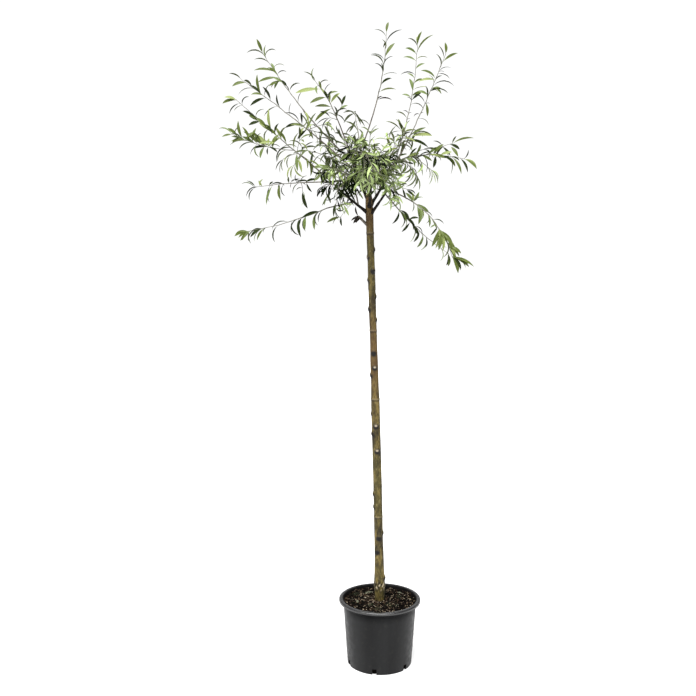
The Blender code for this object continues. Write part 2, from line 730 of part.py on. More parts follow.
def grow_mass(shoot, arc, low, stem, forks, spaces, section, material):
    """Grows one mass along a shoot's arc, from a share of it on: its forks, its leaves, then its twigs."""
    rng = random.Random(f"{shoot.name} {SEED}")
    root_radius = LIMB_RADII[1] if shoot.bare else BOUGH_RADII[1] * END_GIRTH
    mass = Mass(shoot, stem, tapered(stem, (root_radius, STEM_TIP_RADIUS)), spaces, section, rng)
    for fork in forks:
        mass.add_fork(fork)
    mass.add_leaves(stem, FIRST_LEAF)
    dense = shoot.name.startswith("heart")
    first, last = HEART_TWIG_STRETCH
    turn = rng.uniform(0, 360)
    for n in range(shoot.twigs):
        if dense:
            share = first + (last - first) * n / (shoot.twigs - 1)
            length = HEART_TWIG * rng.uniform(*TWIG_LENGTHS)
        else:
            share = SHOOT_TWIG_FIRST + SHOOT_TWIG_STEP * n
            length = SHOOT_TWIG * rng.uniform(*TWIG_LENGTHS)
        place = low + (1.0 - low) * share
        mass.add_twig(arc.at(place), arc.tangent(place), turn, length)
        turn += TWIG_TURN
    mass.join(material)


def grow_low_spray(shoot, line, trunk, spaces, section, material):
    """The small spray on the trunk itself, its stem cut a gap clear of the bark."""
    mass = Mass(shoot, line, tapered(line, TWIG_RADII), spaces, section, random.Random(SEED))
    cutter = trunk.clearance(CUTTERS)
    apply_boolean(mass.body, "DIFFERENCE", cutter=cutter)
    bpy.data.objects.remove(cutter)
    mass.add_leaves(line, STUB_FIRST_LEAF, STUB_LEAF)
    mass.join(material)


def main():
    trunk = trunk_limb()
    boughs = bough_limbs()
    bare_stems = {shoot.name: shoot_limb(shoot, boughs[shoot.bough]) for shoot in SHOOTS}
    limbs = [trunk, *boughs.values(), *bare_stems.values()]

    make_pot()
    make_compost()
    make_trunk(trunk)
    bough_material = plain_material("bough_bark", BOUGH_BARK, 0.8)
    stem_material = plain_material("young_bark", STEM_BARK, 0.7)
    for n, limb in enumerate(limbs[1:], start=1):
        make_limb(limb, limbs[:n], bough_material if limb.name in boughs else stem_material)

    arcs = {}
    lines = {}
    for shoot in SHOOTS + BOUGH_ENDS:
        if shoot.bare:
            arc = bare_stems[shoot.name].arc
            low = arc.middle_share
        else:
            arc = bough_end_arc(shoot, boughs[shoot.bough])
            low = 0.0
        arcs[shoot.name] = arc, low
        forks = [fork_line(arc, low, share, rise, crown_point(tip)) for share, rise, tip in shoot.forks]
        lines[shoot.name] = [leafy_line(arc, low), *forks]
    stub = Shoot("low_spray", "trunk", STUB_HEIGHT, None, STUB_TIP, 1.0, 0, ())
    stub_start = trunk_point((STUB_HEIGHT - SOIL) / TRUNK_LENGTH)
    stub_tip = crown_point(STUB_TIP)
    stub_line = [stub_start, stub_start.lerp(stub_tip, 0.6), stub_tip]
    lines[stub.name] = [stub_line]

    spaces = Spaces(lines, limbs)
    section = three_sided_section(CUTTERS)
    greens = [plain_material(f"leaf_green_{n}", colour, 0.6) for n, colour in enumerate(LEAF_GREENS)]
    for number, shoot in enumerate(SHOOTS + BOUGH_ENDS):
        arc, low = arcs[shoot.name]
        stem, *forks = lines[shoot.name]
        grow_mass(shoot, arc, low, stem, forks, spaces, section, greens[number % len(greens)])
    grow_low_spray(stub, stub_line, trunk, spaces, section, greens[0])


clear_scene()
MODEL = new_collection("weeping_pear_tree")
CUTTERS = new_collection("cutters")
main()
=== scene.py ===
"""Weeping pear standard in its nursery pot: bark, stems, leaves, compost and pot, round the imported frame.

Lengths are metres in the frame's own axes: the origin is the centre of the pot's underside, +X is to the
right and +Y to the back. The crown grows from the same boughs and shoots as the solids, by the same rule,
carried on to finer twigs and to leaves at their own size.
"""

import math
import random
from collections import namedtuple

import bpy
import numpy as np
from mathutils import Matrix, Vector, noise


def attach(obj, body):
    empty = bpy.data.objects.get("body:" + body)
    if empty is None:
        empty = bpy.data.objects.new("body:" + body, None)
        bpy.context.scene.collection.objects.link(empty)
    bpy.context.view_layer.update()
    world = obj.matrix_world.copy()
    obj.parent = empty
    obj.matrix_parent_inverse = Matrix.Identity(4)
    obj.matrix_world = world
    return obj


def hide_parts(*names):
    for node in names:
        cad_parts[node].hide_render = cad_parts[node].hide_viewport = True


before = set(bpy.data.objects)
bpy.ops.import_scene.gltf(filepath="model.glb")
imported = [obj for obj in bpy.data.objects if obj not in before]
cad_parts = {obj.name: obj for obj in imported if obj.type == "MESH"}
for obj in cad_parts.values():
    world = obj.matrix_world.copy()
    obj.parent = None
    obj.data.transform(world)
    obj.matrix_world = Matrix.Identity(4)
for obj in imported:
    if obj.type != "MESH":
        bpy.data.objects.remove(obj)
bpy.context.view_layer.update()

SEED = 20

# Camera, fitted to the ellipses of the pot's rim and foot
CAMERA_PLACE = (-0.109, -2.985, 1.410)
CAMERA_DIP = 6.13
LENS = 46.55
SENSOR = 36.0

# Light
WALL_LIGHT = 1.05
ROOM_LIGHTS = (0.60, 0.12)  # on the left and on the right
WALL_SIDES = (0.72, 0.86)  # the white wall behind the plant fades between these parts of the way round
WALL_TOP = (0.37, 0.29)
KEY_FROM = (-0.15, -0.85, 1.50)
KEY_POWER = 8.0
KEY_BREADTH = 60.0
STUDIO_FLOOR = 60.0
FLOOR_GREY = 0.58
FLOOR_GLOW = 0.30  # light from under the floor, as on a light table

# Pot
POT_HEIGHT = 0.2265
RIM_RADIUS = 0.1400
COLLAR_RADIUS = 0.1275
COLLAR_DEPTH = 0.0180
COLLAR_ROUND = 0.0015
COLLAR_DRAFT = 0.0003
COLLAR_STEPS = (0.0030, 0.0004, 0.0012, -0.0022)  # heights over its foot: inside, round, outside and below
WALL_TOP_RADIUS = 0.1245
BASE_RADIUS = 0.1100
BASE_CORNER = 0.0030
BASE_SEAM = (0.0004, 0.0020)  # where the wall meets the round corner, outwards and upwards
BASE_RING = 0.0100
WALL = 0.0024
FLOOR = 0.0040
FLOOR_CORNER = 0.0040
HUB_RADIUS = 0.0020
LIP_DEPTH = 0.0080
LIP_ROUND = 0.0038
LIP_EDGE = 0.0012
LIP_FLAT = 0.0030
LIP_SEAM = (0.0012, 0.0002)  # where the lip's underside meets the collar, outwards and upwards
LIP_SHADOW = 0.0010  # from the lip's underside down to where the straight collar begins
MOUTH_ROUND = 0.0030
MOUTH_STEP = 0.0010
SLOT_SIZE = (0.030, 0.015, 0.040)  # of its cutter, whose middle is at the edge of the pot's underside
SLOT_ROUND = 0.0030
SLOT_BEARINGS = [19 + 60 * n for n in range(6)]
POT_STEPS = 180
POT_SHARP = 40.0
INNER_RINGS = 9  # rows of the pot's profile on the inner wall, and up to the end of the lip
LIP_RINGS = 17
GLOSS = (0.34, 0.60)  # least and most roughness of the wall, and of the lip
LIP_GLOSS = (0.20, 0.36)
UNDER_LIP_SHADE_HEIGHTS = (0.180, 0.206)  # the wall shines less from one to the other, a painted shade under the lip

# Compost
SOIL = 0.2160
SOIL_EDGE = 0.2165
SOIL_RISE = 0.0045  # how far the loose top stands above the level ground in the middle
SOIL_REACH = 0.1240
SOIL_FLAT = 0.0300
SOIL_GAP = 0.0005
SOIL_COLLAR = (0.0040, -0.0005)  # heights of its edge and of the wall's top, over the collar's foot
SOIL_STEPS = 150
SOIL_RINGS = 46
SOIL_LUMPS = ((0.0048, 42, 0.0), (0.0034, 120, 5.0), (0.0012, 360, 9.0))  # height, fineness and own place

# Number of chips of each kind, their lengths, and their dark and light colours
CHIPS = {
    "chip_dark": (800, (0.003, 0.011), (0.0004, 0.0003, 0.0003), (0.006, 0.004, 0.003)),
    "chip_red": (520, (0.002, 0.008), (0.020, 0.012, 0.007), (0.058, 0.036, 0.022)),
    "chip_tan": (340, (0.002, 0.006), (0.115, 0.086, 0.056), (0.225, 0.178, 0.122)),
    "chip_cream": (260, (0.0015, 0.004), (0.330, 0.280, 0.200), (0.560, 0.490, 0.380)),
}
CHIP_RING = (0.020, 0.1225)
CHIP_BREADTHS = (0.15, 0.34)  # least and most of half a chip's breadth, as shares of its length
CHIP_DEPTHS = (0.06, 0.16)  # the same of half its depth
CHIP_CORNERS = (0.62, 1.05)
CHIP_TILT = 0.35
CHIP_LIFT = 0.7

# Bearing, reach and size of each cushion of moss, and of each fallen leaf
MOSS = (
    (262, 0.085, 0.016), (300, 0.055, 0.012), (235, 0.060, 0.010), (80, 0.080, 0.014), (150, 0.095, 0.012),
    (20, 0.070, 0.010),
)
MOSS_BLADES = 16000  # for each metre of a cushion's size
MOSS_REACH = 0.117
MOSS_HEIGHTS = (0.0014, 0.0036)
MOSS_LEAN = 0.0010
MOSS_RADII = (0.0006, 0.0005, 0.0001)
MOSS_ROOT = 0.0005
LITTER = ((318, 0.078, 0.036), (195, 0.080, 0.030), (120, 0.070, 0.034), (40, 0.092, 0.030))
LITTER_WIDTH = 0.009
LITTER_LIFT = 0.0030
LITTER_RISE = 0.10
LITTER_TURNS = (70, 110)
LITTER_ROLL = 12
LITTER_BENDS = (math.radians(24), 0.2, math.radians(14))  # arch, twist and fold

# Trunk: height above the compost, as a share of its length, and radius there
TRUNK_LENGTH = 1.3840
TRUNK_LEAN = -0.0410
LEAN_POWER = 1.25
TRUNK_GIRTH = (
    (-0.010, 0.0160), (0.010, 0.0164), (0.035, 0.0184), (0.055, 0.0186), (0.075, 0.0166),
    (0.150, 0.0150), (0.300, 0.0147), (0.490, 0.0147), (0.550, 0.0132), (0.620, 0.0124),
    (0.900, 0.0121), (0.955, 0.0130), (0.985, 0.0116), (1.000, 0.0080),
)
TRUNK_RINGS = 620
TRUNK_STEPS = 72
TRUNK_SEGMENTS = 40  # of the line that leaves keep clear of

# Bark: how fine its lumps, cracks, grain and the graft's knobs are round the trunk and along it
BARK_NOISES = ((1.1, 12), (6.0, 26), (14.0, 240), (3.2, 110))
LUMP_RISE = 0.00080
CRACK_DEPTH = 0.00050
CRACK_LEVEL = 0.35
CRACK_SLOPE = 2.2
GRAIN_RISE = 0.00022
GRAFT = 0.274  # height of the rough swelling where the tree was grafted
GRAFT_REACH = 0.013
GRAFT_RISE = 0.0036
GRAFT_SCAR = (0.15, 3.2)  # level and slope of its dark hollows, and of its pale knobs
GRAFT_LIGHT = (0.5, 3.4)
GRAFT_PALE = 0.8
RED_BARK = (1.060, 0.140, 0.9)  # height, reach and strength of a redder stretch
RED_TOP = (1.440, 0.060, 0.8)  # and of the red bark under the fork

# Scars of cut side twigs: height, bearing, size, and whether the cut face is pale
Knot = namedtuple("Knot", "height bearing size pale")
KNOTS = [Knot(*row) for row in (
    (1.416, 350, 0.0060, False), (1.391, 200, 0.0055, True), (1.347, 300, 0.0060, False),
    (1.316, 188, 0.0050, False), (1.262, 352, 0.0055, False), (1.220, 190, 0.0060, False),
    (1.184, 350, 0.0050, False), (1.075, 262, 0.0060, False), (1.026, 275, 0.0055, True),
    (0.999, 195, 0.0060, False), (0.867, 185, 0.0045, False), (0.829, 268, 0.0060, True),
    (0.800, 205, 0.0060, False), (0.744, 275, 0.0060, True), (0.592, 188, 0.0055, False),
    (0.548, 192, 0.0055, False), (0.457, 350, 0.0055, False), (0.443, 270, 0.0060, False),
    (0.394, 240, 0.0060, False), (0.300, 345, 0.0060, False), (1.368, 85, 0.0060, False),
    (1.290, 120, 0.0050, True), (1.130, 60, 0.0060, False), (1.050, 110, 0.0055, False),
    (0.920, 75, 0.0060, True), (0.690, 100, 0.0055, False), (0.620, 50, 0.0060, False),
    (0.500, 125, 0.0055, False), (0.360, 80, 0.0060, True),
)]
KNOT_SCALE = 1.42
KNOT_TALL = 0.8
KNOT_RISE = 0.50
KNOT_HOLLOW = 0.20
HOLLOW_SHARP = 9
PALE_SHARP = 6
SCAR_DEPTH = 2.3
SCAR_DROP = 0.5
SCAR_TALL = 0.9
RINGS = (1.470, 1.148, 0.917, 0.513)
RING_RISE = 0.0011
RING_REACH = 0.0035
RING_SHADE = (0.0040, 0.0022, 0.75)  # how far under the ring, reach and strength
RING_LIGHT = (0.0010, 0.0024, 0.15)  # how far over it, reach and strength
PAINTED_SHADOW_LINE = (196, 1.330, 1.480, 0.0024)  # a painted shadow line down the trunk's left side: bearing, foot, top and half width

# Crown
CROWN_X = -0.0380
BOUGH_SAG = 0.0040
BOUGH_STEP = 0.0020
END_BEND = 0.3  # a shoot at a bough's end is steered ahead of the bough by this share of its own span
BOUGH_RADII = (0.0046, 0.0034)
BOUGH_FLARE = 0.0032  # extra radius of a bough where it leaves the trunk
FLARE_REACH = 0.012
BOUGH_RELIEF = (20, 0.22)  # sides and unevenness
LIMB_RADII = (0.0026, 0.0018)
LIMB_RELIEF = (10, 0.18)
RELIEF_FINENESS = (1.4, 90)  # round a limb and along it
END_GIRTH = 0.8  # of a shoot at a bough's end, as a share of the bough's girth there
STEM_STEP = 0.003
STEM_WAVER = 0.0012
STEM_SIDES = 8
STEM_INSET = 0.0020  # how far before a stem's end its last leaves stand
STEM_ROSETTE = (0.5, 0.95)  # their droop and size, as shares of those along the stem
STEM_CHECK = 4  # leaves keep clear of the line through every few points of a leafy stem, bough or bare stem
BOUGH_CHECK = 5
LIMB_CHECK = 3
STEM_TIP_RADIUS = 0.0007
BUD_RISE = 0.0005
BUD_REACH = 0.0022
TWIG_RADII = (0.0012, 0.0007)
TWIG_SIDES = 5
TWIGLET_RADII = (0.0008, 0.0005)
STUB_RADII = (0.0058, 0.0034)
WAVE_PACES = (22, 38)  # bends for each metre of a stem
WAVE_SIZES = (0.5, 1.0)

Bough = namedtuple("Bough", "name base tip")
BOUGHS = (
    Bough("left_high", 1.568, (161, 0.066, 1.715)),
    Bough("left_low", 1.533, (195, 0.114, 1.620)),
    Bough("right_high", 1.555, (15, 0.079, 1.682)),
    Bough("front", 1.548, (272, 0.100, 1.655)),
    Bough("back", 1.560, (95, 0.110, 1.690)),
    Bough("right_low", 1.528, (325, 0.071, 1.612)),
)

# A shoot leaves its bough at a share of the bough's length, is bare as far as "bare" and leafy from there
# to "tip". Places are bearing, reach and height. "Twigs" tells how many short side twigs it has and how
# far along the leafy stem they go. "Greens" names the palette of its leaves.
Shoot = namedtuple("Shoot", "name bough along bare tip droop twigs greens")
SHOOTS = [Shoot(*row) for row in (
    ("tall_middle", "left_high", 0.82, (51, 0.038, 1.902), (39, 0.079, 2.158), 0.1, (0, 0.0), "tips"),
    ("tall_right", "right_high", 0.86, (27, 0.105, 1.735), (34, 0.212, 2.142), 0.1, (0, 0.0), "tips"),
    ("right_high", "right_high", 0.62, (4, 0.125, 1.771), (357, 0.242, 2.080), 0.3, (0, 0.0), "mixed"),
    ("tall_left", "left_high", 0.93, (158, 0.242, 1.885), (157, 0.413, 2.124), 0.2, (0, 0.0), "tips"),
    ("upper_left", "left_high", 0.56, (206, 0.114, 1.824), (214, 0.215, 1.981), 0.3, (1, 0.10), "tips"),
    ("left_high", "left_high", 0.70, (176, 0.202, 1.804), (177, 0.460, 1.985), 0.5, (0, 0.0), "mixed"),
    ("left_middle", "left_low", 0.78, (188, 0.228, 1.719), (190, 0.478, 1.878), 0.6, (2, 0.05), "fresh"),
    ("left_level", "left_high", 0.50, (166, 0.216, 1.638), (167, 0.447, 1.636), 1.6, (0, 0.0), "shade"),
    ("left_low", "left_low", 0.46, (196, 0.145, 1.549), (196, 0.447, 1.466), 2.0, (0, 0.0), "shade"),
    ("right_arching", "right_high", 0.50, (335, 0.152, 1.567), (336, 0.343, 1.358), 1.6, (0, 0.0), "fresh"),
    ("right_low", "right_low", 0.82, (351, 0.097, 1.544), (356, 0.263, 1.359), 1.8, (0, 0.0), "shade"),
    ("front_middle", "front", 0.74, (262, 0.185, 1.705), (274, 0.400, 1.594), 1.0, (4, 0.60), "sunlit"),
    ("front_left", "front", 0.55, (240, 0.165, 1.655), (246, 0.375, 1.622), 1.0, (0, 0.0), "heart"),
    ("back_right", "back", 0.50, (60, 0.161, 1.745), (56, 0.350, 1.850), 0.5, (2, 0.20), "mixed"),
    ("back_middle", "back", 0.62, (101, 0.170, 1.795), (97, 0.390, 1.930), 0.5, (2, 0.20), "mixed"),
    ("back_left", "back", 0.78, (127, 0.187, 1.721), (127, 0.403, 1.774), 0.8, (4, 0.34), "crown"),
    ("heart_top", "left_high", 0.40, (220, 0.014, 1.690), (270, 0.040, 1.842), 0.5, (1, 0.10), "crown"),
    ("heart_front_left", "left_low", 0.32, (222, 0.090, 1.636), (224, 0.225, 1.665), 1.2,
     (6, 0.36), "heart"),
    ("heart_back_right", "right_high", 0.40, (50, 0.105, 1.690), (50, 0.215, 1.735), 0.7,
     (2, 0.25), "heart"),
    ("heart_back_left", "back", 0.45, (140, 0.115, 1.670), (145, 0.245, 1.700), 0.8, (1, 0.10), "heart"),
)]
BOUGH_ENDS = [Shoot(*row) for row in (
    ("heart_left_high", "left_high", 1.0, None, (128, 0.170, 1.830), 0.5, (1, 0.10), "crown"),
    ("heart_left_low", "left_low", 1.0, None, (209, 0.210, 1.590), 1.2, (0, 0.0), "heart"),
    ("right_level", "right_high", 1.0, None, (9, 0.365, 1.680), 1.3, (2, 0.30), "mixed"),
    ("heart_front", "front", 1.0, None, (286, 0.215, 1.635), 0.7, (8, 0.55), "heart"),
    ("heart_back", "back", 1.0, None, (84, 0.240, 1.700), 0.8, (8, 0.60), "heart"),
    ("heart_right_low", "right_low", 1.0, None, (311, 0.165, 1.630), 1.0, (1, 0.10), "heart"),
)]

# Long side twigs: where each leaves the leafy stem, how far its middle rises, and the place of its tip
FORKS = {
    "left_middle": (
        (0.10, -0.016, (196, 0.499, 1.793)), (0.00, 0.000, (193, 0.273, 1.647)),
        (0.00, 0.006, (202, 0.184, 1.671)), (0.00, 0.010, (189, 0.189, 1.773)),
    ),
    "left_level": (
        (0.10, 0.012, (164, 0.215, 1.550)),
    ),
    "right_level": (
        (0.62, 0.012, (22, 0.382, 1.789)), (0.28, 0.004, (6, 0.180, 1.624)),
        (0.34, 0.010, (12, 0.233, 1.750)), (0.45, 0.004, (0, 0.236, 1.642)),
    ),
    "left_high": (
        (0.00, 0.004, (136, 0.145, 1.782)), (0.00, 0.006, (159, 0.111, 1.830)),
        (0.00, 0.006, (174, 0.190, 1.834)),
    ),
    "right_high": (
        (0.00, 0.006, (344, 0.071, 1.828)), (0.00, 0.004, (354, 0.095, 1.842)),
    ),
    "tall_right": (
        (0.00, 0.006, (18, 0.066, 1.805)), (0.00, 0.006, (345, 0.119, 1.811)),
    ),
    "heart_front_left": (
        (0.10, 0.006, (237, 0.119, 1.544)), (0.35, 0.006, (237, 0.166, 1.517)),
        (0.60, 0.006, (236, 0.205, 1.503)), (0.25, 0.006, (230, 0.169, 1.567)),
        (0.00, 0.000, (240, 0.116, 1.562)), (0.50, 0.006, (242, 0.182, 1.550)),
    ),
    "heart_right_low": (
        (0.20, 0.008, (330, 0.179, 1.588)), (0.40, 0.008, (317, 0.146, 1.531)),
        (0.50, 0.006, (292, 0.162, 1.544)), (0.10, 0.004, (307, 0.150, 1.561)),
    ),
    "back_left": (
        (0.00, 0.010, (141, 0.223, 1.801)), (0.05, 0.006, (148, 0.187, 1.749)),
        (0.00, 0.004, (132, 0.215, 1.833)),
    ),
    "heart_left_high": (
        (0.00, 0.000, (158, 0.162, 1.781)),
    ),
    "upper_left": (
        (0.10, 0.006, (159, 0.083, 1.912)),
    ),
    "heart_top": (
        (0.00, 0.000, (216, 0.103, 1.700)), (0.00, 0.000, (232, 0.063, 1.613)),
    ),
    "front_middle": (
        (0.00, 0.004, (247, 0.218, 1.695)), (0.45, 0.002, (264, 0.292, 1.587)),
        (0.70, 0.004, (269, 0.320, 1.562)), (0.86, 0.004, (282, 0.337, 1.570)),
    ),
    "heart_front": (
        (0.00, 0.000, (241, 0.138, 1.626)), (0.10, 0.004, (251, 0.138, 1.598)),
        (0.25, 0.004, (262, 0.151, 1.572)), (0.40, 0.000, (267, 0.180, 1.589)),
        (0.50, 0.004, (275, 0.191, 1.561)), (0.80, 0.004, (288, 0.210, 1.566)),
        (0.90, 0.004, (301, 0.198, 1.592)),
    ),
    "tall_left": (
        (0.00, 0.002, (160, 0.200, 1.811)),
    ),
    "front_left": (
        (0.00, 0.000, (249, 0.182, 1.580)), (0.00, 0.000, (257, 0.184, 1.598)),
    ),
    "back_right": (
        (0.00, 0.004, (73, 0.178, 1.828)),
    ),
}
SAGS = {"left_low": 0.013}  # how far the middle of a long leafy stem hangs under its curve

# Short growths low down: one on the trunk itself, and one that hangs from a bough
STUB_HEIGHT = 1.488
STUB_TIP = (186, 0.038, 1.525)
HANGING_FROM = ("left_low", 0.45)
HANGING_TIP = (199, 0.151, 1.498)
SPRAY_STEPS = 20
